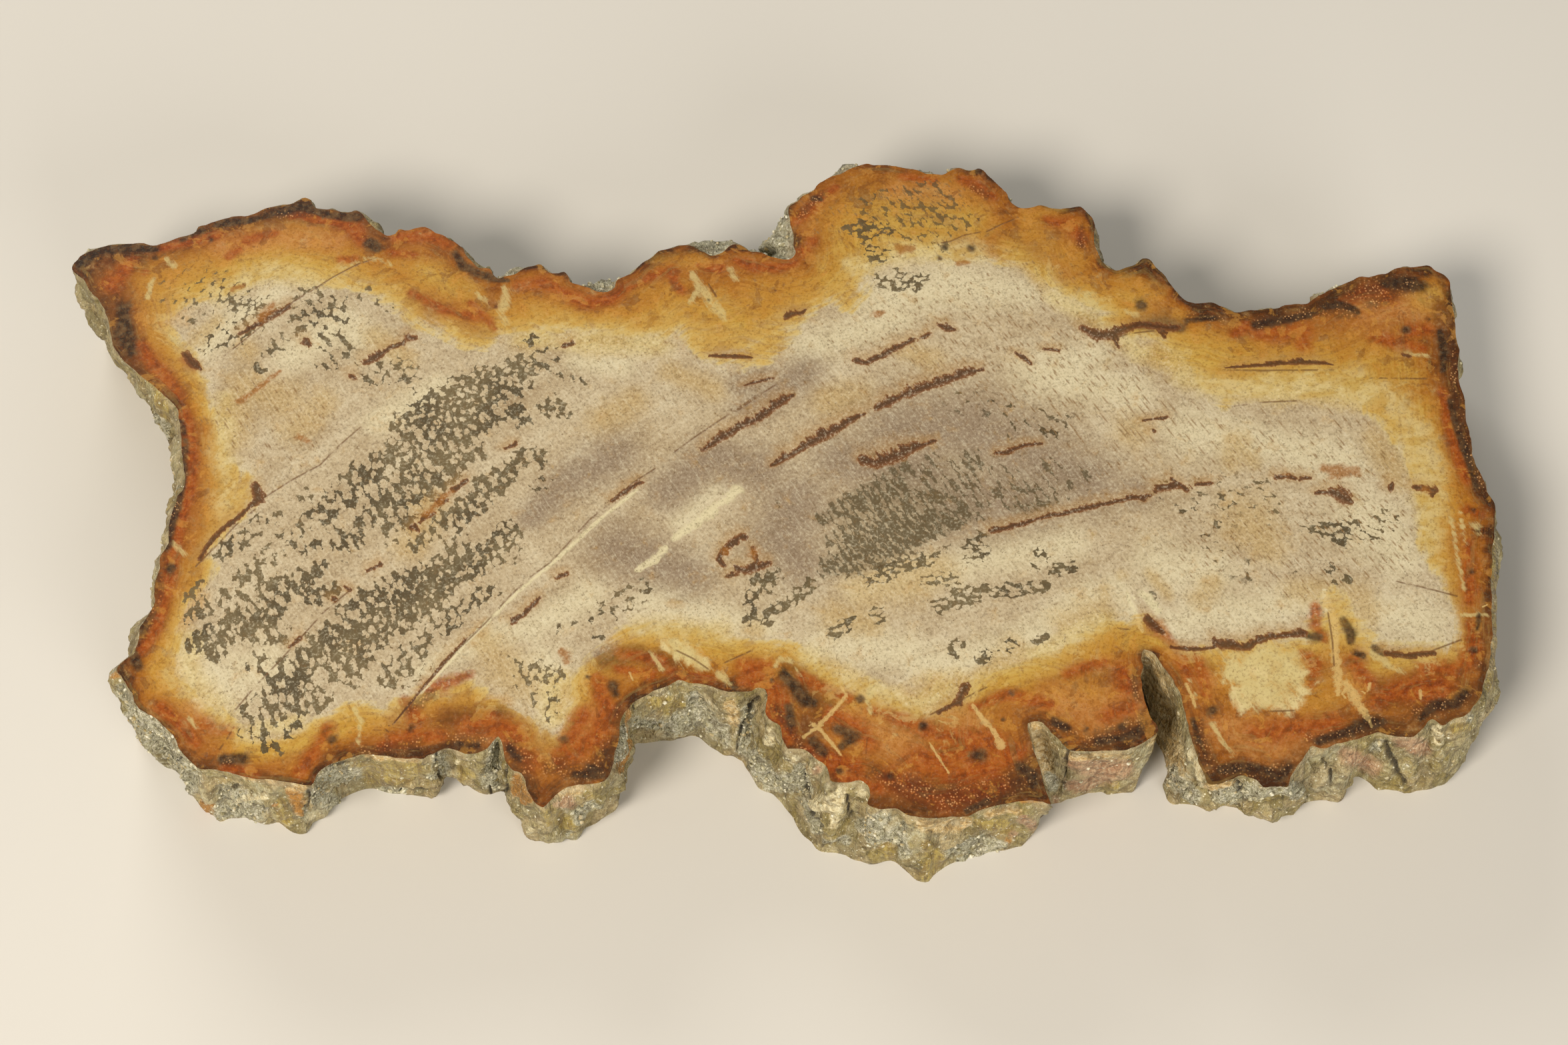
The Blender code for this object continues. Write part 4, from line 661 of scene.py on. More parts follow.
        [(35, -1.6, .5), (38, -.9, .55), (41, -.1, .5), (42.6, .6, .2)],
        [(43.4, .8, .3), (45.6, 1.5, .4), (47.5, 1.7, .4), (49.5, 2.3, .45), (52, 3, .5), (54.6, 3.6, .4),
         (57.2, 4.2, .3), (59.6, 4.9, .45), (62.6, 5.2, .25)], [(59.8, 5.2, .3), (61.6, 4.3, .3)],
        [(64, 6.7, .7), (66.7, 7, .5)], [(66.4, 8.4, .3), (67.8, 7.4, .5), (68.8, 6.3, .4)],
        [(70.4, 7.3, .25), (71.8, 7.5, .45), (73, 7.6, .35)],
        [(84.3, 8.7, .45), (86.2, 9.1, .4), (88.3, 8.1, .2)], [(88.6, 8.7, .3), (90.2, 8.6, .25)],
        [(36.4, 13.6, .3), (38.6, 13.7, .45)], [(39.5, 14.3, .3), (41.6, 15.2, .4), (44.4, 15.4, .2)],
        [(90.8, 5.7, .3), (92.6, 6, .4), (94.4, 5.7, 1), (95.6, 4.8, 1.1), (96.9, 4, .4)],
        [(103.9, 7.6, .4), (103.6, 6.4, .4)], [(108, 6.7, .5), (109.6, 6.8, .5), (111.2, 6.3, .6)],
        [(110.7, 5.2, .4)],
        [(-6.9, -2.7, .6), (-8.8, -3.8, .65), (-10.4, -5.8, .5), (-11.2, -7.2, .35), (-10.1, -8.2, .35)],
        [(-8, -8.9, .5), (-6, -9, .75), (-4.2, -8.4, .65), (-2.6, -7.7, .5)],
        [(-9.4, -10.1, .4), (-8.4, -10, .3)], [(-5.2, -4.8, .35), (-4.6, -6.6, .5)],
        [(-95.5, 37.6, .3), (-92.6, 39.6, .6), (-90, 41.6, .7), (-87.4, 43.2, .5)],
        [(-84, 35.8, .7), (-83.5, 35.3, .5)], [(-75.3, 29, .6), (-74.8, 28.6, .4)],
        [(-73, 32, .75), (-71, 33, .7), (-69.4, 34.6, .4), (-66.8, 35.6, .45)],
        [(-65.8, 36.9, .7), (-64.9, 36.7, .5)], [(-62.6, -.3, .4), (-62.4, -1.3, .55), (-63.4, -.9, .3)],
        [(-61.6, .5, .4), (-59.6, 1.9, .35)], [(-58.8, 4.1, .6), (-57.6, 4.2, .4)],
        [(-56.4, 6.3, .5), (-54.2, 8.3, .4)], [(-70.2, -9.2, .3), (-68, -7.9, .45)],
        [(-73.8, -12.1, .25), (-72.9, -12.9, .3)], [(-75.4, -14.7, .4)],
        [(-82.2, -23.4, .3), (-80.6, -21.9, .35)], [(-47.9, 14.5, .3), (-46.3, 15.3, .4)],
        [(-45.2, -18.8, .5), (-43.6, -17.4, .45), (-42, -15.6, .4), (-41, -14.2, .3)],
        [(-64, -37.3, .1), (-61, -33, .16), (-58.6, -29.5, .2), (-56, -25.8, .35), (-53, -22.6, .4),
         (-51, -20.3, .2), (-50, -19, .1)], [(-38.2, -10.4, .35), (-36.6, -9.8, .35)],
        [(-38.6, 35.1, .5), (-37, 35.8, .5)],
        [(.4, 41, .5), (1.6, 42, .55), (3.2, 41.8, .3), (3.8, 42.6, .2)],
        [(40.6, 33.6, .25), (42, 32.6, .4), (43, 31.5, .25)], [(45.6, 34.4, .25), (48.2, 34.2, .3)],
        [(77, 30.6, .15), (81, 31, .3), (85, 31.4, .5), (89, 31.8, .55), (93, 31.8, .4), (96, 31.2, .1)],
        [(52.6, 38.8, .6), (55, 37.2, .9), (57.4, 37.4, .9), (60, 38.8, .8), (63, 39.6, .6), (66, 39, .7),
         (69, 38.8, .6)], [(66.2, 38, .6), (66.8, 36.9, .3)], [(58, 36.4, .25), (58.6, 34.8, .2)],
        [(71.6, -22.2, .5), (73, -23.2, .65), (75, -23, .75), (77, -23.6, .55), (78.4, -22.3, .7),
         (81, -21.5, .5), (84, -21.2, .5), (86.6, -20.7, .75)],
        [(64.4, -23.5, .25), (68, -23.9, .35), (71.4, -23.6, .2)],
        [(60.6, -18.3, .6), (61.6, -19.4, .9), (63, -20.6, .6)],
        [(108, -24.6, .4), (103, -25, .5), (100, -24.6, .4)],
        [(-90.4, 7, .7), (-89.6, 4.6, .8), (-92.2, 1.6, .35), (-94.6, -.6, .5), (-97, -3.6, .5),
         (-98.6, -7, .4)], [(-104.8, 33.4, .6), (-103.2, 31.3, .7), (-101.8, 30.4, .3)],
        [(-51.8, 44, .5), (-50.9, 43.2, .4)], [(29.8, -30.8, .7), (28.8, -33.4, .6), (25.4, -35.4, .3)],
        [(-13, 33.1, .3), (-9, 33, .45), (-5.6, 32.7, .2)], [(-7, 27, .15), (-4, 28, .3), (-1.6, 28.6, .15)],
        [(-24.5, 7.8, .5), (-27, 6.2, .4), (-29.3, 4.2, .3)], [(66.4, 20.6, .3), (62, 20, .15)],
        [(63.8, 17.9, .35)], [(109.7, 32.9, .2), (108.4, 33.2, .4)],
    ],
    "orangeBlot": [
        [(92.4, 10.6, .8), (95, 9.8, 1.3), (98, 10, .9)], [(93.6, 8.7, .5)],
        [(-92, 40.8, .9), (-90.4, 43.2, .8)], [(-97.6, 46.8, .5), (-95.8, 47.6, .4)],
        [(-61, 1.4, .6), (-57, 6, .6)], [(-51.8, 45.6, .8), (-51.5, 43.6, .6)], [(86, 9.2, .5)],
        [(109.6, 6.4, .7)], [(-5, -5.8, .9)], [(-9.8, -5.6, .8)], [(20.6, 55.2, 1), (23, 55.3, .6)],
        [(31, 52.3, .6), (33, 52.4, .4)], [(16, 41.6, .7), (17.4, 42, .5)],
        [(-87.8, 30, .4), (-93, 25, .5), (-94.6, 23.8, .6)], [(-36, -26, .7), (-37, -24, .6)],
        [(-84, 17, .5), (-81.6, 15.6, .4)],
    ],
    "vein": [
        [(-60.6, -33, .2), (-52, -21.6, .3), (-45, -13.6, .35), (-38, -6.6, .4), (-31, 1, .35),
         (-25, 6.4, .3)],
        [(90.7, -12.8, .4), (90.9, -15, .9), (91.6, -18, .85), (91.7, -21, .75), (91.5, -25, .7),
         (91.7, -28, .8), (91.6, -31, .7), (91.3, -32.2, .3)],
        [(93, -29.6, .4), (94, -32.5, .95), (95, -34.6, .8), (96, -36.6, .4), (96.4, -38, .2)],
        [(96.9, -30, .25), (96.3, -31.6, .25)], [(-24.6, -9, .6), (-22, -7.2, .8), (-20, -5, .6)],
        [(-18.6, -3, .7), (-16, -1, .8), (-13, 1.6, 1), (-10.4, 4, .8), (-8, 6.2, 1)],
        [(3.2, -39.8, .25), (5, -38.3, .35), (7, -36.4, .35), (9, -34, .35), (10.3, -32.2, .3),
         (9.4, -30.6, .2)], [(4.4, -37.2, .25), (6, -38.5, .3), (7.5, -40.5, .3), (9.3, -43, .3)],
        [(23.8, -40.8, .15), (25, -43, .22), (26.8, -46.2, .18)],
        [(31.2, -34.2, .35), (33, -37, .4), (34.6, -39.2, .45), (35.6, -41.3, .7)],
        [(66.5, -30.3, .3), (67.3, -32.5, .38), (67.7, -34.4, .2)],
        [(57.6, -13.6, .25), (58.6, -16.5, .45), (59.3, -19, .45), (59.7, -20.6, .2)],
        [(60.4, -13.5, .9), (62.6, -16.8, .8)], [(-25.6, -28.2, .2), (-25, -29.6, .2)],
        [(117, -16, .15), (118.2, -15.4, .1)], [(105, -31.5, .25), (105, -33, .3)],
    ],
    "hairline": [
        [(-5, 25, .1), (-6.5, 23.6, .1), (-10, 20.9, .1), (-15, 17, .1), (-18.8, 13.8, .1)],
        [(-22, 10.6, .1), (-26, 7.6, .1), (-29, 4.2, .1), (-33, .6, .1), (-37, -4.6, .1),
         (-39.5, -7.7, .1), (-43, -10.6, .1), (-46, -14, .1), (-50, -19.2, .1), (-53, -22.6, .1),
         (-56, -25.7, .1), (-58.6, -29.2, .1), (-62.5, -35, .1), (-64.2, -37.6, .1)],
        [(-72.6, 53.4, .1), (-76, 52, .1), (-80, 49.4, .1), (-84, 46.2, .1), (-87.5, 43.6, .1),
         (-91, 40, .1), (-95, 36, .1), (-98, 33, .1)],
        [(-89, 4.6, .1), (-84, 8.4, .1), (-79.6, 11.2, .1), (-77, 14.6, .1), (-73, 18.8, .1)],
        [(-99.2, -8.4, .1), (-96, -4.4, .1), (-93, -.4, .1), (-90, 2.6, .1)],
        [(-72.5, -12.5, .1), (-77, -17, .1), (-80.6, -21.9, .1), (-84, -26.4, .1), (-88, -31.6, .1),
         (-90.6, -35.4, .1)], [(28, 56.6, .1), (29.8, 56.9, .1), (32, 58.2, .1), (35.6, 59, .1)],
        [(36, 58.8, .1), (39, 60.6, .1), (42, 62, .1)], [(76, 30.2, .1), (84, 30.1, .1), (96, 30.2, .1)],
        [(58, 36.6, .1), (60.6, 37.6, .1), (65, 38.2, .1)], [(76, 22.4, .1), (82, 23.6, .1), (90, 24, .1)],
        [(24, -35.8, .1), (28.6, -33.4, .1), (33.8, -30.6, .1), (35, -29.6, .1)],
        [(54, -19, .1), (56, -20, .1), (57.6, -20.2, .1)], [(55, -27.6, .1), (57, -27, .1)],
        [(103, -11.2, .1), (107, -12.2, .1), (113, -14, .1)], [(79.6, -35.2, .1), (84, -35, .1)],
        [(-8, 22, .1), (-3.6, 25.6, .1), (-1.4, 27.2, .1)], [(-1.6, 46.6, .1)],
        [(113, -22, .1), (104, -25.6, .1), (100, -24.8, .1)],
        [(91, -17, .1), (91.3, -22, .1), (91.2, -27, .1)],
        [(-18, -24, .1), (-15, -25.6, .1), (-12.4, -27.6, .1)],
        [(-10, -26.4, .1), (-6, -24.4, .1), (-3, -22.8, .1)], [(-65.4, -38.4, .1), (-64.8, -38.8, .1)],
        [(-93.6, -44.5, .1), (-91.4, -40.5, .1), (-90, -37.6, .1)], [(101, 28.6, .1), (112, 28.4, .1)],
        [(-12, 45.4, .1), (-13.4, 48, .1)],
    ],
    "glitter": [
        [(116.8, 37, .7), (117.2, 31, .8), (116.6, 27, .7), (117.1, 20, 1), (117.8, 14, .8),
         (118.9, 8, .7), (119.9, 5, .6)],
        [(100, 45.6, 1.2), (105, 47.6, 1.4), (110, 47.6, 1.8), (104, 44, 1.4)],
        [(84, 39.8, 1.2), (90, 41, 1), (97, 43, 1.2), (100, 41.6, 1)], [(71, 41, .6), (77, 40.6, .6)],
        [(-64, -42, .9), (-69, -42, .6), (-60, -41, 1)], [(-54, -40.6, 1.4), (-50, -40.6, 1.3)],
        [(-44.6, -41.4, 1.6), (-42.6, -44, 1.8), (-42, -47, 1)],
        [(-38, -45, 1.4), (-33, -46, 1.4), (-30, -45, 1.2), (-29, -41, 1)],
        [(-27.6, -36, .6), (-27.2, -33.6, .5)],
        [(15, -46, 1), (19, -48.5, 1.8), (26, -50.6, 2.2), (33, -50, 2), (37, -47.6, 1.8), (40, -46, 1.6)],
        [(41, -40, .6), (41.5, -44, .8)], [(44.6, -37.4, .9), (47, -39, 1)],
        [(50, -40.4, 1), (55, -39, 1.6), (59, -37.6, 1.2)], [(58.2, -33, .6), (57.6, -29, .5)],
        [(68, -37, .7), (68.4, -41, .8), (69.6, -45, 1)], [(72, -45.6, 1), (79, -46.4, 1.3), (82, -45, 1)],
        [(86, -40.4, .9), (92, -39.2, 1), (97, -37, 1.4)],
        [(104, -35, 1.2), (109, -34.2, 1.2), (113, -32, 1)], [(115.6, -27, .8)],
        [(-103.6, 14, .4), (-103, 8, .45), (-104, 0, .5), (-104.2, -2.6, .4)],
        [(-105, -10, .5), (-104.6, -14, .5), (-106.4, -20.6, .6)],
        [(5, -43, .6), (2.4, -41, .5), (-1.6, -34.5, .7)], [(-90.6, -44.4, .8)],
        [(-92, 62.6, .6), (-85, 62.6, .6)], [(53, 56, .8), (53.4, 60, .6)], [(34, 68.6, .8), (37, 66.4, .6)],
        [(3, 62.6, .8), (7, 67.4, .6)], [(-62, -35, .9), (-58, -32, .9)], [(88, 40, 1.2)],
    ],
}

# olive mottling: (x, y, half-width, how much of the face it covers)
mottleStrokes = [
    [(-41, 33, 1.4, .4), (-45, 31, 2.2, .55), (-48, 28, 2.6, .6), (-52, 26, 3, .76), (-57, 23.5, 3, .8),
     (-61, 21, 3, .76), (-64, 18.5, 2.6, .7)],
    [(-52, 20.5, 2.2, .74), (-58, 18.5, 2.6, .76), (-63, 15.5, 2.4, .74), (-67, 12.6, 2, .74),
     (-70, 10.6, 1.8, .66), (-73, 8.4, 2, .66), (-76, 4.4, 2, .5), (-79, 1, 2, .46), (-82, 0, 1.2, .55)],
    [(-46.4, 32.4, .8, .9), (-46.2, 29.4, .8, .9)], [(-68, 12.6, 1.1, .95), (-67, 13.6, .9, .95)],
    [(-60.5, 8, .9, .9)], [(-68, 4.2, 1.3, .9)], [(-47, 21.6, 1.3, .72), (-45, 20, 1.2, .74)],
    [(-42.4, 22.4, 1, .6), (-39.6, 22.4, 1.5, .68), (-38.4, 21.4, 1, .66)],
    [(-37, 29, 2, .34), (-40, 27, 2, .3)],
    [(-55, 14, 2.4, .66), (-59, 10.5, 2.8, .72), (-64, 6.5, 2.6, .7), (-68, 4, 2, .76), (-71, 1.6, 1.6, .6)],
    [(-58, 12, 2, .7), (-62, 10, 2, .6)], [(-65.6, 1, 2.4, .62), (-69, 0, 1.4, .5)],
    [(-72.2, -3.2, 1.2, .84), (-71.6, -1.2, .8, .66)], [(-66.6, -3.4, 1, .4)],
    [(-42, 13, 1.3, .76), (-41.6, 11.6, .7, .7)],
    [(-45.4, 12.6, 1.2, .66), (-48, 8.6, 1.7, .8), (-51, 5.2, 1.6, .66), (-53.6, 3, 1.6, .74),
     (-57, 1, 1.6, .76), (-59.6, -.6, 1.2, .64)], [(-50.6, 7.4, 1.6, .6), (-53, 6.4, 1.4, .55)],
    [(-60, -3, 1.2, .62), (-62.6, -4.6, .9, .55)], [(-57, -5.4, 1, .5), (-54, -2.4, 1, .45)],
    [(-46.6, -2, 1.5, .7), (-48.4, -4.8, 1.6, .76), (-52, -7, 2, .76), (-56, -9, 2.2, .86),
     (-59, -12, 2.6, .86), (-62, -15, 2.8, .9), (-66, -17.4, 2.8, .78), (-69, -20, 2.8, .8),
     (-73, -20, 2.2, .72), (-76, -23.4, 2.6, .82), (-79, -27, 2.6, .72), (-83, -31, 2.6, .7),
     (-86, -35, 2.2, .56)],
    [(-59, -9, 1.4, .7), (-62.6, -10.6, 1.6, .76), (-66, -12.4, 1.4, .72), (-70, -14, 1.3, .56),
     (-73, -17, 1.6, .6)], [(-71, -25.6, 1.8, .8), (-74, -27.6, 1.8, .66), (-71, -29.6, 1, .5)],
    [(-79.6, -33.4, 2.2, .74), (-76, -33, 1.4, .6), (-74, -32, .8, .5)],
    [(-82, -37, 2.2, .56), (-86.6, -39, 2, .52), (-83, -41, 1.4, .52), (-88, -38, 1, .45)],
    [(-49, -12.6, 1, .55), (-53, -15.6, 1.3, .52), (-57, -19, 1.5, .55), (-60, -22.6, 1.6, .56),
     (-63, -26, 1.7, .58), (-65.4, -29, 1.4, .6)], [(-62, -29.4, 1.2, .45), (-59, -26, 1, .35)],
    [(-45, -7, 1, .45), (-44, -5.4, .8, .4)], [(-78.6, -9, 1.4, .8), (-77.4, -8.4, .8, .8)],
    [(-81, -11.6, 1.8, .78), (-84.6, -12, 1.7, .76), (-87.6, -13.6, 1.3, .6)],
    [(-91.6, -10.6, 1.1, .8), (-89.6, -9.4, 1.1, .7), (-88, -10.4, .8, .6)],
    [(-90, -15.6, 1.2, .62), (-94, -14.6, 1.3, .66), (-97.6, -16.4, 1.1, .66), (-99.6, -18.6, 1, .7)],
    [(-79, -14, 1.5, .66), (-76, -12.6, 1.2, .5)],
    [(-86, -17.4, 1.8, .74), (-90, -18.4, 1.8, .74), (-94, -21.4, 1.8, .84), (-97, -22.6, 1.6, .84),
     (-95, -24.4, 1.1, .84)], [(-84, -21.4, 1.5, .7), (-88.4, -22.6, 1.1, .62), (-86.6, -25, .9, .5)],
    [(-98, -12.4, 1, .62), (-100, -14.4, .9, .66)], [(-88, -27, 1, .3), (-93, -25.6, 1, .3)],
    [(-87, 1, 1.2, .42), (-91, -2, 1.5, .42), (-95, -6, 1.3, .45)],
    [(-84, -3.6, 1.6, .42), (-88, -7, 1.4, .45)],
    [(-81, -5.4, 1, .5), (-76.6, -2.6, 1.4, .45), (-74, -6, 1.2, .45)],
    [(-82, 5.4, 1, .5), (-79, 3.4, .9, .4)],
    [(-96, 44.4, 2, .42), (-92, 42, 2.2, .46), (-97, 38, 2.2, .4), (-101, 35, 1.6, .4)],
    [(-93.4, 43.8, .9, .74), (-96.6, 43, .8, .64)],
    [(-85, 45, 1.6, .42), (-79, 44, 1.6, .42), (-85, 40, 2, .42), (-78.6, 40, 2, .36)],
    [(-90, 33.6, 1.5, .56), (-88, 36.4, 1.2, .5), (-91, 31, 1, .4)],
    [(-81, 37, 1.6, .4), (-76, 33, 1.5, .36), (-81.6, 31, .8, .5)],
    [(-69, 31, 1.8, .5), (-65, 29.6, 1.4, .5), (-72, 28.4, 1.4, .45)], [(-64, 26.4, 1.2, .3)],
    [(-107, 47, 3, .2), (-100, 47, 3, .24), (-104, 41, 2, .2)], [(-73, 45, 1.6, .36), (-70, 43.4, 1, .3)],
    [(-44, 36, 1, .5), (-47, 35, .7, .5)], [(16, -17.4, 1.2, .52), (15, -16.8, .6, .5)],
    [(8.4, -21, .9, .76), (10.4, -19.6, 1, .7), (11.6, -18.6, .6, .5)],
    [(28.4, -23.6, 1.2, .62), (29.8, -22.6, .6, .6)], [(33.4, -25.4, 1, .8)],
    [(36, -24.4, .5, .6), (38, -23, .9, .62)], [(42.4, -22.2, .9, .8), (43.4, -21.6, .5, .8)],
    [(26, -15.8, 1, .6), (29, -14.8, 1.2, .76), (31.6, -13.8, 1.1, .76), (34.4, -12.8, .8, .66),
     (37.4, -13, 1, .7), (40, -12.4, .9, .66)],
    [(24, -11.4, .9, .5), (27, -11, 1, .66), (28.4, -10.8, .8, .62), (28.6, -12.8, .6, .5)],
    [(41.8, -12.6, 1, .6), (44, -12, .7, .6)], [(45.6, -9, 1, .74), (48.4, -8.8, .9, .66)],
    [(43.4, -5.6, .7, .6), (44, -7, .5, .6)], [(42, -8.6, .6, .6)],
    [(33, -3, 1, .6), (32, -5, 1, .62), (33.8, -6, .9, .6), (31, -6.6, .7, .6)],
    [(17, -9.4, 1, .74), (19.4, -8.4, .9, .76)],
    [(20.6, -8.2, .9, .6), (23.6, -7.4, 1.1, .7), (25.4, -6.6, .7, .6)],
    [(26, -5.4, .7, .5), (29, -4.6, .6, .4)], [(14.6, -11, .9, .55), (17, -10.6, .7, .5)],
    [(-5.6, -15, 1, .5), (-5.4, -18, 1, .76), (-3, -18.4, .9, .74), (-1, -15.6, 1, .72),
     (1.6, -14.4, 1, .74), (4, -12.6, .9, .7), (4.6, -10.4, .7, .6)],
    [(-6, -14.6, .8, .5), (-2, -10.4, 1.4, .6), (-3.6, -11.4, 1.4, .6)],
    [(12.2, 59.4, 1.2, .6), (15, 60, 1.4, .64), (18.4, 59.4, 1, .5)],
    [(14.6, 56.8, 1, .6), (16.6, 53, 1, .6), (18.6, 54.4, .8, .5)],
    [(16.6, 48.6, .9, .6), (19.6, 47.6, 1, .66), (22, 48, 1, .66), (24.6, 49.4, 1, .6)],
    [(20, 50.4, .8, .5), (23.6, 46.4, .6, .5)],
    [(88.4, -1, 1, .5), (92, -1.6, 1.3, .66), (94.4, -2.4, 1.2, .66), (96.6, -.2, 1.2, .6)],
    [(94.4, -4, .7, .7)], [(99, -3.4, 1.4, .34), (101.6, -.4, 2, .34), (104, 1.6, 1, .3)],
    [(93, -8.6, .8, .6), (91.6, -10.4, 1, .62), (94.6, -10.8, .7, .5)], [(85.4, -9.2, .8, .5)],
    [(77, -10, 2, .2), (68, 6, 3, .22), (80, 4, 4, .2)], [(61.4, -14.4, .8, .8), (62.6, -16.4, .5, .8)],
    [(-43, -28.4, 2, .4), (-38.6, -28.6, 1.4, .6), (-37.4, -27, .6, .6)], [(-41.8, -33, 1.2, .5)],
    [(-38, -36.4, .8, .36), (-37.6, -31, 1, .4)],
    [(-27, -15.6, 1.6, .4), (-31, -17.4, 1.4, .4), (-24, -13, 1.6, .36)], [(-45, -26, 1.2, .2)],
    [(40.6, 17.6, 2.4, .24), (48, 19, 2.4, .24), (30, 24, 2, .2)], [(-44, 6, 1, .3), (-40, 8, 1, .3)],
    [(-31, -22, .8, .5)], [(-36, -20, 1.6, .22)],
]

# finer, upright flecks of the dark centre and the ticks that cross the rings
fleckStrokes = [
    [(18, 64, 3, .34), (26, 65, 3.4, .4), (31, 62, 2.6, .36)], [(24, 60, 3, .34), (28, 57, 2, .3)],
    [(8, -8.4, 1.6, .66), (11, -7.4, 2.2, .8), (15, -5, 2.6, .86), (19, -2.4, 2.8, .9), (23, -1, 2.2, .92),
     (27, .4, 1.8, .86), (31, 1.4, 1.2, .66), (34, 1.4, .9, .4)],
    [(8, -3.4, 1.2, .5), (12, -1.4, 2.2, .66), (17, 1.4, 3, .7), (23, 3.6, 3, .66), (28, 4, 2.4, .55),
     (33, 4, 2, .45)],
    [(6.4, .6, .9, .7), (9.4, 2.4, 1.2, .74), (12.4, 4, 1.6, .8), (15.6, 6, 1.8, .7), (19, 6.4, 2, .74)],
    [(16, 6, 2, .6), (19.6, 9, 1.6, .66), (22, 10, 1.2, .5)],
    [(24, 9, 2.4, .5), (29, 10.4, 2.4, .45), (32, 12.6, 1.4, .5), (31, 7, 2, .4)],
    [(38, 8, 2.4, .45), (42, 5, 2, .4), (39, 3, 1, .5), (46, 8, 3, .36), (50, 9, 2, .4)],
    [(45.6, 4, .7, .6), (39.6, 2.6, .9, .66), (42.6, 3.6, .8, .5)], [(-1, 2, 3, .14)],
]
tickStrokes = [
    [(-10, 24, 5, .3), (10, 30, 6, .4), (26, 36, 6, .6), (44, 32, 8, .8), (56, 24, 8, .7)],
    [(30, 44, 5, .5), (44, 42, 4, .6), (12, 40, 4, .4)],
    [(52, 12, 6, .4), (66, 18, 6, .55), (78, 14, 6, .5), (96, 14, 7, .5)],
    [(84, -5, 7, .6), (100, -2, 6, .7), (72, -4, 6, .5)], [(45, 27, 3, 1), (50, 26, 3, .8)],
    [(-97, 20, 6, .5), (-86, 20, 7, .5)], [(-22, 30, 6, .3), (-20, -5, 6, .2)],
    [(75, 46, 2, .3), (8, 60, 3, .5), (28, 66, 4, .7)],
]


def marksToFrame(points):
    return np.array(points, float) + np.array(slab["markOrigin"])


def strokeField(places, strokes):  # 1 on a stroke's middle line, half at its edge, 0 at twice its width
    field = np.zeros(len(places))
    for stroke in strokes:
        marks = np.array(stroke, float)
        marks[:, :2] += slab["markOrigin"]
        if len(marks) == 1:
            marks = np.repeat(marks, 2, 0)
        reach = 2 * marks[:, 2].max()
        low, high = marks[:, :2].min(0) - reach, marks[:, :2].max(0) + reach
        near = np.flatnonzero(np.all((places > low) & (places < high), axis=1))
        for start, end in zip(marks, marks[1:]):
            along = end[:2] - start[:2]
            share = np.clip((places[near] - start[:2]) @ along / max(along @ along, 1e-9), 0, 1)
            gap = np.hypot(*(places[near] - start[:2] - share[:, None] * along).T)
            width = start[2] + share * (end[2] - start[2])
            value = 1 - gap / (2 * width)
            if marks.shape[1] > 3:  # the fourth number is how much the stroke covers
                value = np.clip(value * 2, 0, 1) * (start[3] + share * (end[3] - start[3]))
            field[near] = np.maximum(field[near], value)
    return field


def strokeOffsets(places, strokes):  # across the nearest stroke and past its ends in stroke widths
    best = np.full(len(places), 99.0)
    offsets = np.tile((0.0, 0.0, 3.0), (len(places), 1))
    for stroke in strokes:
        marks = np.array(stroke, float)
        marks[:, :2] += slab["markOrigin"]
        if len(marks) == 1:
            marks = np.concatenate([marks, marks + (0.05, 0, 0)])
        for start, end in zip(marks, marks[1:]):
            length = math.hypot(*(end - start)[:2])
            way = (end - start)[:2] / length
            offset = places - start[:2]
            run = offset @ way
            side = way[0] * offset[:, 1] - way[1] * offset[:, 0]
            past = run - np.clip(run, 0, length)
            width = start[2] + np.clip(run / length, 0, 1) * (end[2] - start[2])
            gap = np.hypot(side, past)
            closer = (gap / width < best) & (gap < np.maximum(0.85, 1.8 * width))
            best[closer] = (gap / width)[closer]
            offsets[closer] = (np.stack([side, past, 0 * gap], 1) / (2 * width[:, None]))[closer]
    return offsets


def bandShare(places, outline):  # 0 at the rim, 1 where the cream begins, above 1 inside it
    edge = marksToFrame(creamEdge)
    toRim = nearestGap(places, outline)
    toCream = nearestGap(places, edge)
    inside = insideOutline(places, edge)
    share = toRim / np.maximum(toRim + toCream, 1e-6)
    return np.where(inside, 1 + toCream / slab["creamReach"], share), toRim


def addField(mesh, name, values, kind="FLOAT"):
    attribute = mesh.attributes.new(name, kind, "POINT")
    key = "value" if kind == "FLOAT" else "vector"
    attribute.data.foreach_set(key, np.asarray(values, np.float32).ravel())


def lineGaps(places, line):  # mm to the nearest part of a line, with and without the side's sign
    marks = marksToFrame(line)
    near = np.full(len(places), 1e9)
    signed = np.full(len(places), 1e9)
    for start, end in zip(marks, marks[1:]):
        along = end - start
        offset = places - start
        share = np.clip(offset @ along / (along @ along), 0, 1)
        gap = np.hypot(*(offset - share[:, None] * along).T)
        side = along[0] * offset[:, 1] - along[1] * offset[:, 0]
        closer = gap < near
        near[closer] = gap[closer]
        signed[closer] = (np.sign(side) * gap)[closer]
    return signed, near


def ringDistance(places):
    total = np.zeros(len(places))
    weight = np.zeros(len(places))
    for across, line in growthLines:
        signed, near = lineGaps(places, line)
        share = 1 / (near + 3) ** 2
        total += share * (across + signed)
        weight += share
    return total / weight


onFace = np.zeros(len(slabPoints), bool)
onFace[:columnCount] = True
onFace[rowCount * columnCount:rowCount * columnCount + len(faceSpots)] = True
facePlaces = slabPoints[onFace][:, :2]


def faceField(values):
    whole = np.zeros(len(slabPoints))
    whole[onFace] = values
    return whole


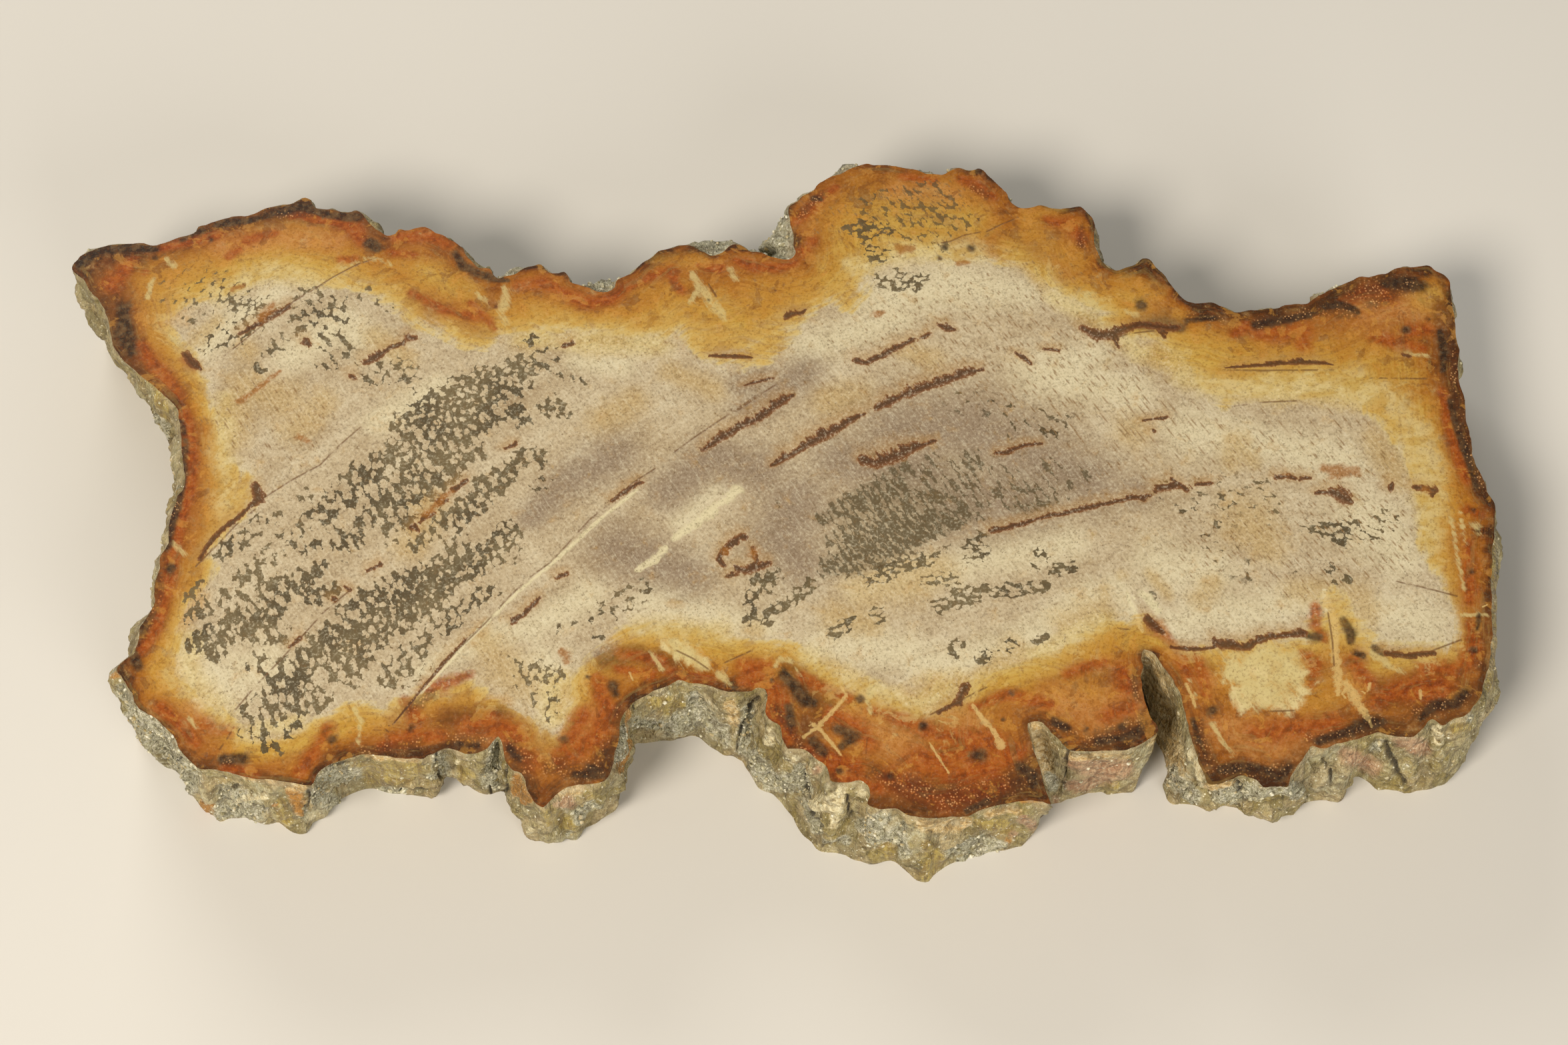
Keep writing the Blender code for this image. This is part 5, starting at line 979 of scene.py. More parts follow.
share, rimGap = bandShare(facePlaces, wall[0][:, :2])
addField(slabMesh, "band", faceField(share))
addField(slabMesh, "rimGap", faceField(rimGap))
slant = slab["fibreSlant"]
along = slabPoints[:, 0] * math.cos(slant) + slabPoints[:, 1] * math.sin(slant)
across = ringDistance(slabPoints[:, :2])
addField(slabMesh, "grain", np.stack([along, across, slabPoints[:, 2]], 1), "FLOAT_VECTOR")
for name, strokes in faceStrokes.items():
    if name in ("hairline", "vein", "streak"):
        offsets = np.tile((0.0, 0.0, 3.0), (len(slabPoints), 1))
        offsets[onFace] = strokeOffsets(facePlaces, strokes)
        addField(slabMesh, name, offsets, "FLOAT_VECTOR")
    else:
        addField(slabMesh, name, faceField(strokeField(facePlaces, strokes)))
halo = [[(x - 0.35 * w - 0.2, y + 0.8 * w + 0.3, w + 0.7) for x, y, w in stroke]
        for stroke in faceStrokes["streak"]]
addField(slabMesh, "streakHalo", faceField(strokeField(facePlaces, halo)))
for name, strokes in (("mottle", mottleStrokes), ("flecks", fleckStrokes), ("ticks", tickStrokes)):
    addField(slabMesh, name, faceField(strokeField(facePlaces, strokes)))
print("face marks placed")


# marks on the broken wall, read where the line of sight from the front meets the face's plane
wallStrokes = {
    "grit": [
        [(-109.6, -31, .9), (-107.5, -34.5, 1.4), (-104.5, -38, 2.2), (-101, -41.5, 2.2), (-98, -45, 2),
         (-96.5, -48, 1.6)], [(-90.5, -49.5, 1.5), (-86, -52.5, 2.2), (-91, -53, 1.4)],
        [(-75.5, -46.6, 1.6), (-72.5, -46.6, 1.8), (-69.6, -46.6, 1.2)],
        [(-75.5, -50, 1.8), (-73, -51.5, 1.4)], [(-56.3, -43.6, 1.1), (-55.4, -45.5, 1.1)],
        [(-57.6, -46.6, .8)], [(-47.4, -41, .7), (-47.6, -44, 1.1), (-48.3, -47.6, 1.2), (-46.8, -48.6, .8)],
        [(-23.6, -37.6, 1.2), (-19, -38, 1.6), (-15.5, -36.6, 1.8), (-12.6, -37, 1.8), (-9.4, -40.5, 1.2)],
        [(-15.4, -33.4, 1), (-13.6, -35, 1.4)],
        [(-6, -35.6, 1), (-6.6, -41, 1.4), (-4.6, -44, 1.5), (-2, -48, 1.6), (1.6, -48, 1.6),
         (2.6, -45, 1), (3.6, -52, 1.2), (5.6, -56, 1)], [(7, -57.8, .8), (9.6, -57.6, 1)],
        [(12.4, -55.4, 1.2), (16, -53.8, 1.2), (14.6, -57.6, 1.3), (18.6, -56, 1), (19.4, -59.6, .9)],
        [(26.6, -60, .8), (31, -58.2, 1), (35.4, -58.6, .8), (28, -61.6, .6)],
        [(43, -46.6, .8), (43.6, -49, .7)], [(63.6, -46, 1.2), (63.8, -48, 1.6), (66.4, -50.4, 1.1)],
        [(70, -50.4, 1), (74, -49.6, 1.4), (78, -49, 1.3), (83, -49, 1.2)],
        [(-109.6, 21, .8), (-107, 19, .8), (-105.8, 11.6, .5)], [(-110, -27, .4)],
        [(-62, -49.6, .7), (-66, -49.4, .7)], [(-26.2, -38, .6), (-27, -44, .5)],
        [(-31, -52, 1), (-33, -54, 1)], [(-34.6, -56.6, .6)], [(96.6, -41.6, 1)], [(112.6, -36.4, .7)],
    ],
    "lump": [
        [(3.4, -50.6, .8), (5.2, -51.6, 1.3), (8, -51.4, 1.8), (9.3, -49.4, 1)], [(8.4, -54.2, 1)],
        [(12.7, -49.8, 1)], [(-2.2, -40.2, 1.2), (-2.4, -38.6, .8)], [(-39.8, -48.8, .7)],
        [(-39.6, -50.8, .7)], [(-40.8, -56, .6)], [(107, -38.4, .9), (107.2, -40.2, .8)],
        [(-84, -49.8, .6), (-88, -50.8, .6)], [(66.6, -42.6, .6), (67.8, -47, .7)], [(-53, -44, .4)],
        [(2, -43.6, .8)], [(16.6, -52.6, .7)], [(97.6, -41, .5)],
    ],
    "sand": [
        [(60, -26, 1.6), (61, -30, 2.4), (62, -36, 2.6), (63, -42, 2.4), (63.6, -46, 1.8)],
        [(41, -38, 1), (42, -42, 1.6), (43, -47, 1.2)], [(22, -55.2, .9), (26, -55.8, 1.3), (29.4, -55, 1)],
        [(-88, -47, .6), (-82, -47.6, .7), (-78, -48.6, 1)], [(-9, -34, 1.1), (-8, -37, 1)],
        [(33, -53.4, .7), (38, -52.6, .6)], [(-38, -49.6, 1), (-33, -49, .7)],
        [(46, -43.4, .6), (56, -43.2, .6)], [(3.6, -45.6, .9)], [(-60, -43.9, .5), (-68, -43.2, .5)],
        [(69, -48.4, .7), (73, -48, .6)],
    ],
    "skin": [
        [(-69.4, -45.4, 1.3), (-66, -46.6, 2.4), (-61.6, -46.6, 2), (-59.6, -45.4, .9)],
        [(-52.8, -44.8, .8), (-51.4, -46.4, 1.2)], [(-21.6, -33.6, 1.2), (-19, -34.4, 1.7), (-16.8, -34, 1)],
        [(23, -58.6, 1), (24.6, -61.4, 1.4), (22.6, -63.6, 1.2)], [(15.6, -58.6, .8), (17, -60.6, .8)],
        [(31.6, -55.4, .9), (36, -55.6, 1.4)], [(110, -38.2, .9), (112.4, -38, .7)],
        [(-81.6, -52, 1.2), (-80.4, -54.4, 1.2)], [(-84.8, -51.4, .8)],
        [(-115.6, 34, .8), (-112.6, 30.4, 1.1), (-109, 27.4, 1), (-107.4, 22, 1), (-106.8, 15, 1),
         (-106.6, 8, 1), (-107.4, 0, .9)], [(-37.6, -53.6, 1.3), (-34.6, -55.4, 1)],
        [(120, 0, .8), (119.6, -8, .7), (119.2, -16, .7), (118.6, -24, .8), (116.6, -31, .8)],
        [(-31.6, -50.5, 1)], [(53.6, -48, .9)],
    ],
    "rust": [
        [(-43.4, -49.4, 1.1), (-43.6, -47.4, .9), (-41.6, -50.6, .9)], [(-79.6, -49.6, 1.2), (-78.6, -52, 1)],
        [(-92.6, -53, 1), (-94, -51.4, .7)], [(-82.4, -51.6, .5)],
        [(-25.4, -40.6, .6), (-26.6, -46, .6), (-25.6, -34.4, .4)], [(38.6, -50.9, .6), (42, -50.6, .6)],
        [(-110.5, -28.6, .7)], [(-11.4, -39, .5)], [(36, -58, .7)], [(-59, -49, .5)],
    ],
    "rose": [
        [(47, -44.6, 1.3), (51, -45.4, 1.8), (55.5, -45.4, 1.4), (49, -48.4, 1.3), (46, -48.6, .7)],
        [(38.6, -54, 1), (40, -55.6, 1)], [(37, -57, .8)],
        [(-35.4, -50.4, .9), (-34.6, -51.8, 1), (-37, -51.8, .6)], [(92, -43, 1.4), (96, -45, 1.4)],
        [(101, -41, 1.4), (104.6, -41.6, 1.4)], [(-41, -50, .7)], [(5.6, -45.4, .8)], [(44, -51, .6)],
    ],
    "cleft": [
        [(-24.8, -33, .16), (-24.6, -36, .2), (-25, -38, .16)],
        [(-4.2, -33, .2), (-5.4, -34.6, .25), (-6.2, -36.6, .3), (-7.2, -38.6, .3), (-7.8, -42, .2)],
        [(73.4, -47.6, .3), (73.8, -49.4, .35), (75.4, -51.6, .4)],
        [(59, -26.4, .25), (58.8, -30.6, .3), (59.8, -35.4, .35)],
        [(98, -41, .4), (99.4, -45, .5), (100.6, -48, .5)],
        [(3, -45.6, .3), (3.2, -49, .35), (4, -53, .4), (6.4, -55, .35)],
        [(5.4, -59.4, .2), (8.6, -58.4, .25)], [(10.2, -50, .3), (10.8, -54.6, .35)],
        [(-56.6, -42.6, .2), (-56.4, -47, .25)], [(-47.6, -48.6, .2), (-47.4, -50.4, .25)],
        [(-92, -49.2, .25), (-88.6, -48.8, .2)], [(-86, -52, .3), (-83.6, -52.6, .25)],
        [(-101, -43, .2), (-98.4, -43.6, .2)], [(-74, -45, .25), (-71, -44.6, .25)],
        [(-77, -48, .3), (-77.4, -53, .3)], [(-62.6, -49.3, .15), (-57.6, -49.6, .2)],
        [(42.8, -49.6, .3), (43, -51.8, .3)], [(-39.2, -48, .15)],
        [(46.6, -41, .2), (45.2, -46, .2), (46, -50, .2)], [(-45.6, -43, .2), (-45.4, -50, .2)],
        [(88, -44, .3), (89, -48, .3)],
    ],
}
backLumps = [  # pale sediment that shows above the back edge: (x, y, radius)
    (-48, 51.5, 2.4), (-32, 49, 2.8), (-12.7, 57.5, 3.6), (-1.5, 57, 4), (0, 62, 2.4), (11, 73.5, 2),
    (25, 73, 2), (-52, 52.5, 1.4), (60, 54, 3), (96, 47, 2), (-105, 61, 1.6)]
sight = {"lens": 70.0, "sensor": 36.0, "rise": math.radians(62), "reach": 518.0}


def seenAt(points):  # marks' coordinates where the sight line through a wall point meets the face's plane
    x = points[:, 0] - slab["markOrigin"][0]
    y = points[:, 1] - slab["markOrigin"][1]
    drop = points[:, 2] - slab["thickness"]
    sine, cosine = math.sin(sight["rise"]), math.cos(sight["rise"])
    depth = sight["reach"] + y * cosine - drop * sine
    level = (y * sine + drop * cosine) / depth
    across = sight["reach"] * level / (sine - level * cosine)
    return np.stack([x / depth * (sight["reach"] + across * cosine), across], 1) + slab["markOrigin"]


wallSeen = seenAt(slabPoints)
onWall = np.zeros(len(slabPoints), bool)
onWall[:rowCount * columnCount] = True
depthShare = 1 - slabPoints[:, 2] / slab["thickness"]
addField(slabMesh, "depth", depthShare)
ring = wall[0][:, :2]
around = np.roll(ring, -3, 0) - np.roll(ring, 3, 0)
toFront = np.tile(around[:, 0] / np.hypot(*around.T), rowCount)  # below 0 the wall faces the front
facing = np.zeros(len(slabPoints))
facing[onWall] = np.clip(0.5 - toFront * 2.5, 0, 1)
for name, strokes in wallStrokes.items():
    values = strokeField(wallSeen, strokes) * np.where(onWall, np.clip(facing * 2 - 0.2, 0, 1), 0)
    if name == "grit":
        for x, y, radius in backLumps:
            spot = np.array((x, y)) + slab["markOrigin"]
            gap = np.hypot(*(slabPoints[:, :2] - spot).T) / (2 * radius)
            values = np.maximum(values, np.where(onWall, np.clip(1.1 - gap, 0, 1), 0))
    addField(slabMesh, "wall" + name.capitalize(), values)
addField(slabMesh, "facing", facing)
tight = [[(60, -24, 3), (60.5, -34, 3), (61.5, -42, 2)], [(42, -38, 2), (43.5, -46, 2)], [(-12, -30, 1)]]
give = np.sin(np.pi * np.clip(depthShare, 0, 1)) ** 0.35
give *= 1 - 0.75 * np.clip(strokeField(slabPoints[:, :2], tight) * 2, 0, 1)
addField(slabMesh, "give", np.where(onWall, give, 0))
print("wall marks placed")


# relief heights and sizes in mm
relief = {"Lump Height": 1.5, "Lump Size": 3.0, "Grit Height": 1.2, "Grit Size": 1.5, "Flute Height": 0.8,
          "Facet Height": 1.3, "Facet Size": 4.4, "Facet Lean": 0.55, "Cleft Depth": 1.3, "Seed": 11.0}


# noise sizes in mm, then bump strength and distance, and gloss
polish = {"cloud": 9, "patch": 3.6, "fleck": 1.3, "dust": 0.42, "stain": 5.2, "pore": 0.62, "dot": 0.5,
          "bump": (0.3, 0.12), "roughness": 0.42, "specular": 0.17, "coat": 0.05, "coatRoughness": 0.2}


def polishedFinish():
    material, desk = newMaterial("polishedFace")
    place = desk.place()
    flat = desk.stretched(place, (1, 1, 0))
    grain = desk.add("ShaderNodeAttribute", {"attribute_name": "grain"}, out=1)
    cloud = desk.noise(place, polish["cloud"], 3, 0.6)
    patch = desk.noise(place, polish["patch"], 4, 0.62, 0.5)
    fleck = desk.noise(place, polish["fleck"], 3, 0.65)
    dust = desk.noise(place, polish["dust"], 2, 0.6)
    fibre = desk.noise(desk.stretched(grain, (0.14, 1.1, 1)), 1, 4, 0.65)
    ringLine = desk.noise(desk.stretched(grain, (0.012, 0.42, 0)), 1, 3, 0.65)
    rays = desk.noise(desk.stretched(grain, (2.8, 0.3, 0)), 1, 2, 0.6)
    rimLine = desk.noise(desk.add("ShaderNodeCombineXYZ", {}, {
        "X": desk.add("ShaderNodeSeparateXYZ", {}, {0: place}) * 0.09,
        "Y": desk.add("ShaderNodeSeparateXYZ", {}, {0: place}, 1) * 0.09,
        "Z": desk.field("rimGap") * 0.9}), 1, 4, 0.62)

    def layer(name, soft, rag, grit=None):
        grit = patch if grit is None else grit
        return (desk.field(name) + (grit - 0.5) * rag + (fleck - 0.5) * 0.35).rise(0.5 - soft, 0.5 + soft)

    def thin(name):  # distance from a narrow mark in its own widths, and which side
        offset = desk.add("ShaderNodeAttribute", {"attribute_name": name}, out=1)
        gap = desk.add("ShaderNodeVectorMath", {"operation": "LENGTH"}, {0: offset}, 1)
        return gap, desk.add("ShaderNodeSeparateXYZ", {}, {0: offset})

    # cream heart with its growth rings, ray cells and fine grain
    drift = (cloud - 0.5) * 1.0 + (ringLine - 0.5) * 0.8 + (patch - 0.5) * 0.5 + 0.5
    colour = desk.ramp(drift, (0.0, "a08a68"), (0.32, "b39f7d"), (0.55, "beac8b"), (0.8, "c9ba9a"),
        (1.0, "d2c5a6"))
    colour = desk.blend(layer("pallor", 0.5, 0.9) * 0.75, colour, "d8cca7")
    colour = desk.blend(layer("ochre", 0.45, 0.7) * 0.6, colour, "b99a5e")
    colour = desk.blend(layer("mauve", 0.5, 0.6) * 0.84, colour, "8b7863")
    colour = desk.blend((fibre - 0.54).rise(0.0, 0.14) * 0.2, colour, "9c8056")
    colour = desk.blend((rays - 0.55).rise(0.0, 0.12) * 0.2, colour, "8c7350")
    colour = desk.blend((0.45 - rays).rise(0.0, 0.12) * 0.2, colour, "e0d8bc")

    # warm band along the rim
    share = (desk.field("band") + desk.field("brightRim").rise(0.1, 0.7) * 0.16
             - desk.field("darkRim").rise(0.1, 0.7) * 0.15 + (cloud - 0.5) * 0.45
             + (patch - 0.5) * 0.5 + (fibre - 0.5) * 0.3 + (rimLine - 0.5) * 0.5)
    warm = desk.ramp(share, (0.0, "3f2512"), (0.09, "683a15"), (0.2, "925717"), (0.4, "aa7024"),
        (0.62, "b98936"), (0.84, "c4a154"), (1.0, "cebb84"))
    bandMask = 1 - share.rise(0.91, 1.08)
    colour = desk.blend(bandMask, colour, warm)
    colour = desk.blend(layer("orange", 0.5, 1.2) * 0.7 * bandMask, colour, desk.blend(
        rimLine.rise(0.4, 0.6), "8f5420", "a86a2b"))
    colour = desk.blend(layer("amber", 0.45, 1.0) * 0.5, colour, "b98733")
    colour = desk.blend(layer("honey", 0.5, 1.1) * 0.62, colour, desk.blend(
        rimLine.rise(0.4, 0.6), "b58a34", "c9a850"))
    colour = desk.blend(layer("apricot", 0.5, 1.1) * 0.6, colour, desk.blend(
        fleck.rise(0.35, 0.6), "b07034", "c68a4c"))
    colour = desk.blend(layer("umber", 0.45, 1.0) * 0.75, colour, desk.blend(
        fleck.rise(0.38, 0.6), "4a2a12", "74441a"))
    redder = desk.ramp(fleck * 0.55 + rimLine * 0.45, (0.36, "642a0e"), (0.48, "944412"), (0.6, "b2601e"))
    colour = desk.blend(layer("sienna", 0.42, 1.1) * 0.88, colour, redder)
    strand = desk.blend((rimLine - 0.54).rise(0.0, 0.08) * bandMask * 0.3, colour, "85481a")
    colour = desk.blend((0.44 - rimLine).rise(0.0, 0.08) * bandMask * 0.16, strand, "cda85c")
    outer = (1 - share.rise(0.45, 0.85)) * bandMask
    stain = desk.noise(place, polish["stain"], 4, 0.66, 1.2) * 0.6 + patch * 0.4
    colour = desk.blend((stain - 0.545).rise(0.0, 0.035) * outer * 0.5, colour, "6c3814")
    colour = desk.blend((0.455 - stain).rise(0.0, 0.04) * outer * 0.42, colour, "c88f3e")
    colour = desk.blend((0.46 - stain).rise(0.0, 0.04) * (bandMask - outer) * 0.4, colour, "d0b878")
    colour = desk.blend((stain - 0.55).rise(0.0, 0.04) * (bandMask - outer) * 0.4, colour, "9a6a26")
    colour = desk.blend(layer("straw", 0.5, 1.0) * 0.72, colour, desk.blend(
        (fibre * 0.3 + patch * 0.7).rise(0.4, 0.58), "bd9f58", "d4c188"))
    island = layer("island", 0.2, 1.5)
    colour = desk.blend(island * 0.85, colour, desk.blend(patch.rise(0.4, 0.6), "bf9f60", "dac993"))
    palePaint = (desk.field("pale") + (patch - 0.5) * 1.3 + (rays - 0.5) * 1.0
                 + (fleck - 0.5) * 1.0 + (dust - 0.5) * 0.4)
    colour = desk.blend(palePaint.rise(0.25, 0.85) * 0.72, colour, "cbb87c")
    duskTone = desk.blend(fleck.rise(0.4, 0.6), "2b1f15", "59432a")
    colour = desk.blend(layer("dusk", 0.28, 0.9) * 0.92, colour, duskTone)

    # olive mottling: pale round cells in a dark ground, fewer where it is thin
    ripple = desk.vector("SUBTRACT", desk.add("ShaderNodeTexNoise", {}, {
        "Vector": place, "Scale": 0.8, "Detail": 2.0, "Roughness": 0.6}, 1), (0.5, 0.5, 0.5))

    def cellGround(name, stretch, loose):
        bent = desk.vector("ADD", grain, desk.stretched(ripple, (1.6, 1.6, 0)))
        cell = desk.add("ShaderNodeTexVoronoi", {"feature": "F1", "voronoi_dimensions": "2D"}, {
            "Vector": desk.stretched(bent, stretch), "Scale": 1.0, "Randomness": 1.0})
        amount = desk.field(name) + (patch - 0.5) * loose * desk.field(name).rise(0.0, 0.2)
        edge = cell + (dust - 0.5) * 0.25 + (fleck - 0.5) * 0.7 - (0.81 - amount * 0.68)
        return edge.rise(-0.02, 0.08) * amount.rise(0.1, 0.22)

    mottle = cellGround("mottle", (0.78, 0.9, 0), 0.8)
    oliveTone = desk.blend(cloud.rise(0.38, 0.62), "483e29", "6c5e40")
    colour = desk.blend(mottle * 0.93, colour, oliveTone)
    flecks = cellGround("flecks", (1.25, 0.62, 0), 0.5)
    colour = desk.blend(desk.field("flecks").rise(0.2, 0.8) * 0.45, colour, "6b5c41")
    colour = desk.blend(flecks * 0.78, colour, "564b33")
    tick = desk.add("ShaderNodeTexVoronoi", {"feature": "F1", "voronoi_dimensions": "2D"}, {
        "Vector": desk.stretched(grain, (1.0, 0.36, 0)), "Scale": 1.0, "Randomness": 1.0})
    tickGround = (desk.field("ticks") + (fleck - 0.5) * 1.6).rise(0.3, 0.6)
    ticks = (1 - (tick + (dust - 0.5) * 0.3).rise(0.1, 0.2)) * tickGround
    colour = desk.blend(ticks * 0.7, colour, "86653c")

    # brown streaks: crisp along their lower side, combed upwards on the other
    colour = desk.blend(layer("streakHalo", 0.45, 0.9, fleck) * 0.45, colour, "a98148")
    gap, side = thin("streak")
    bumps = desk.noise(desk.stretched(grain, (0.75, 0.15, 0)), 1, 2, 0.6)
    comb = (rays * 0.3 + bumps * 0.7 - 0.5) * side.rise(-0.1, 0.25) * 3.0
    streak = 1 - gap + comb + (dust - 0.5) * 0.5 + (fleck - 0.5) * 0.5
    streakTone = desk.ramp(streak, (0.3, "96683a"), (0.52, "734626"), (0.9, "4c2e1c"))
    colour = desk.blend(streak.rise(0.22, 0.5) * 0.92, colour, streakTone)
    colour = desk.blend(layer("orangeBlot", 0.3, 0.9, fleck) * 0.8, colour, "9a6226")
    gap, side = thin("vein")
    vein = (1 - gap + (dust - 0.5) * 1.1 + (fleck - 0.5) * 1.3 + (patch - 0.5) * 0.5).rise(0.3, 0.75)
    colour = desk.blend(vein * (0.88 - bandMask * 0.16), colour, desk.blend(bandMask, "d9cda4", "d4b573"))
    gap, side = thin("hairline")
    crack = 1 - (gap * 0.2 + (dust - 0.5) * 0.1).rise(0.05, 0.26)
    crack = crack * (patch - 0.38).rise(0.0, 0.12)
    colour = desk.blend(crack * 0.75, colour, "684524")

    # pores, and the fine dotted grains of the dark rim
    pore = desk.cells(flat, polish["pore"])
    pores = (1 - pore.rise(0.12, 0.26)) * (fleck - 0.44).rise(0.0, 0.1) * (1 - bandMask * 0.7)
    colour = desk.blend(pores * 0.6, colour, "6f5a3c")
    grit = (dust - 0.5) * 2
    colour = desk.blend((fleck - 0.52).rise(0.0, 0.2) * 0.16, colour, "7d6238")
    colour = desk.blend(grit.rise(0.0, 0.45) * 0.42, colour, desk.blend(bandMask, "5a4428", "6e3f18"))
    colour = desk.blend((0 - grit).rise(0.0, 0.45) * 0.3 * (1 - bandMask * 0.85), colour, "ebe0c0")
    dot = desk.cells(flat, polish["dot"])
    glitter = layer("glitter", 0.45, 1.1, fleck)
    colour = desk.blend(glitter * dot.rise(0.25, 0.5) * 0.5, colour, "35221a")
    dots = glitter * (1 - dot.rise(0.16, 0.34)) * (patch - 0.4).rise(0.0, 0.15)
    colour = desk.blend(dots * 0.75, colour, "cf9f6c")

    roughness = polish["roughness"] + mottle * 0.08 + (fleck - 0.5) * 0.2 - dots * 0.15
    height = (fleck - 0.5) * 0.5 + (dust - 0.5) * 0.4 - crack * 1.5 - pores * 0.5 + dots * 0.6 - mottle * 0.3
    finishMaterial(desk, {
        "Base Color": colour, "Roughness": roughness, "Specular IOR Level": polish["specular"],
        "Coat Weight": polish["coat"], "Coat Roughness": polish["coatRoughness"]}, polish["bump"], height)
    return material


rubble = {"cloud": 9, "patch": 3.2, "fleck": 1.1, "dust": 0.4, "broad": 20, "sparkle": 0.95,
          "bump": (0.8, 0.9), "roughness": 0.6, "specular": 0.4}


def brokenFinish():
    material, desk = newMaterial("brokenWall")
    place = desk.place()
    cloud = desk.noise(place, rubble["cloud"], 3, 0.55)
    patch = desk.noise(place, rubble["patch"], 4, 0.62, 0.6)
    fleck = desk.noise(place, rubble["fleck"], 3, 0.65)
    dust = desk.noise(place, rubble["dust"], 2, 0.6)
    standing = desk.noise(desk.stretched(place, (1.1, 1.1, 0.14)), 1, 3, 0.62)
    shelf = desk.cells(desk.stretched(place, (0.4, 0.4, 0.55)), 1)
    facing = desk.field("facing")
    bent = desk.stretched(place, (1, 1, relief["Facet Lean"]))
    facet = desk.add("ShaderNodeSeparateXYZ", {}, {0: desk.add("ShaderNodeTexVoronoi", {}, {
        "Vector": bent, "Scale": 1 / relief["Facet Size"], "Randomness": 1.0}, 1)})
    crease = desk.cells(bent, relief["Facet Size"], "DISTANCE_TO_EDGE")

    def layer(name, soft, rag):
        return (desk.field(name) + (patch - 0.5) * rag + (fleck - 0.5) * 0.4).rise(0.5 - soft, 0.5 + soft)

    earth = (cloud - 0.5) * 2.2 + (standing - 0.5) * 1.4 + (patch - 0.5) * 0.8 + 0.5
    colour = desk.ramp(earth, (0.0, "6c5c32"), (0.2, "958148"), (0.4, "a89a6e"), (0.56, "98835a"),
        (0.72, "b6a87e"), (1.0, "c8c2a2"))
    facetTone = desk.ramp(facet + (patch - 0.5) * 0.6, (0.0, "76704e"), (0.3, "938243"), (0.5, "a39c78"),
        (0.75, "bba77a"), (1.0, "8b7a50"))
    colour = desk.blend(0.5, colour, facetTone)
    hidden = 1 - facing
    broad = desk.noise(desk.stretched(place, (1, 1, 0.5)), rubble["broad"], 3, 0.55)
    pale = hidden * (broad - 0.52 + (patch - 0.5) * 0.25).rise(0.0, 0.03)
    colour = desk.blend(pale * 0.7, colour, desk.blend(standing.rise(0.38, 0.62), "8f7a58", "c9bb95"))
    dark = hidden * (0.45 - broad + (patch - 0.5) * 0.25).rise(0.0, 0.03)
    colour = desk.blend(dark * 0.6, colour, desk.blend(fleck.rise(0.38, 0.6), "6e5227", "a67a3c"))
    hiddenSkin = hidden * (cloud - 0.5).rise(0.0, 0.05)
    colour = desk.blend(hiddenSkin * 0.6, colour, desk.blend(standing.rise(0.4, 0.6), "7f6730", "a08a48"))
    paste = hidden * (0.46 - cloud + (patch - 0.5) * 0.3).rise(0.0, 0.04)
    colour = desk.blend(paste * 0.75, colour, desk.blend(fleck.rise(0.4, 0.6), "b5a678", "d8cfae"))
    colour = desk.blend(hidden * (shelf * 0.5 + standing * 0.5 - 0.5).rise(0.0, 0.08) * 0.4, colour, "6b5a3a")
    skin = layer("wallSkin", 0.16, 0.8)
    colour = desk.blend(skin * 0.9, colour, desk.blend(standing.rise(0.4, 0.6), "836b32", "ab954a"))
    colour = desk.blend(layer("wallRose", 0.25, 0.8) * 0.85, colour,
                        desk.blend(standing.rise(0.4, 0.6), "a07454", "c09c78"))
    colour = desk.blend(layer("wallRust", 0.2, 0.9) * 0.9, colour, "b07a30")
    colour = desk.blend(layer("wallSand", 0.25, 0.9) * 0.85, colour,
                        desk.blend(fleck.rise(0.4, 0.6), "c09c5e", "d9c190"))
    hiddenGrit = hidden * (patch - 0.56).rise(0.0, 0.05) * 0.8
    grit = layer("wallGrit", 0.2, 1.0).atLeast(hiddenGrit)
    gritTone = desk.ramp(fleck * 0.55 + dust * 0.45, (0.32, "7d7758"), (0.43, "a49f80"), (0.53, "bfba9d"),
        (0.66, "e2decb"))
    colour = desk.blend(grit * 0.9, colour, gritTone)
    lump = layer("wallLump", 0.16, 0.5)
    colour = desk.blend(lump * 0.92, colour, desk.blend(fleck.rise(0.35, 0.6), "c4b080", "e6dab0"))

    # painted shade: clefts, pits and creases are darkened; painted highlight: high spots are paler; a lighter
    # line runs under the rim
    # painted shade in the pits, where the fleck noise that lowers the bump is low
    pitShade = (0.44 - fleck).rise(0.0, 0.14) * 0.5
    colour = desk.blend(pitShade, colour, "42351f")
    # painted highlight on the high spots, where the fleck noise raises the bump
    colour = desk.blend((fleck - 0.55).rise(0.0, 0.12) * 0.35, colour, "ded3b0")
    # painted shade in the low hollows of the shelf cells, which the bump height sinks
    colour = desk.blend((shelf - 0.62).rise(0.0, 0.12) * (1 - skin * 0.6) * 0.4, colour, "54452a")
    # painted shade in the creases between the relief's facets
    colour = desk.blend((1 - (crease + (fleck - 0.5) * 0.12).rise(0.0, 0.09)) * 0.32, colour, "4a3c24")
    # painted shade: the clefts, pushed in by the relief, are filled with near-black
    cleft = layer("wallCleft", 0.22, 0.4)
    colour = desk.blend(cleft * 0.85, colour, "2c2216")
    # painted shade in the fine pits, where the dust noise lowers the bump
    colour = desk.blend((0.47 - dust).rise(0.0, 0.12) * 0.35, colour, "574628")
    sparkle = desk.cells(place, rubble["sparkle"])
    glint = (1 - sparkle.rise(0.14, 0.24)) * (dust - 0.48).rise(0.0, 0.06)
    colour = desk.blend(glint * 0.8, colour, "e6e0c4")
    edge = 1 - desk.field("depth").rise(0.01, 0.06)
    colour = desk.blend(edge * patch.rise(0.42, 0.58) * 0.5, colour, "a99672")

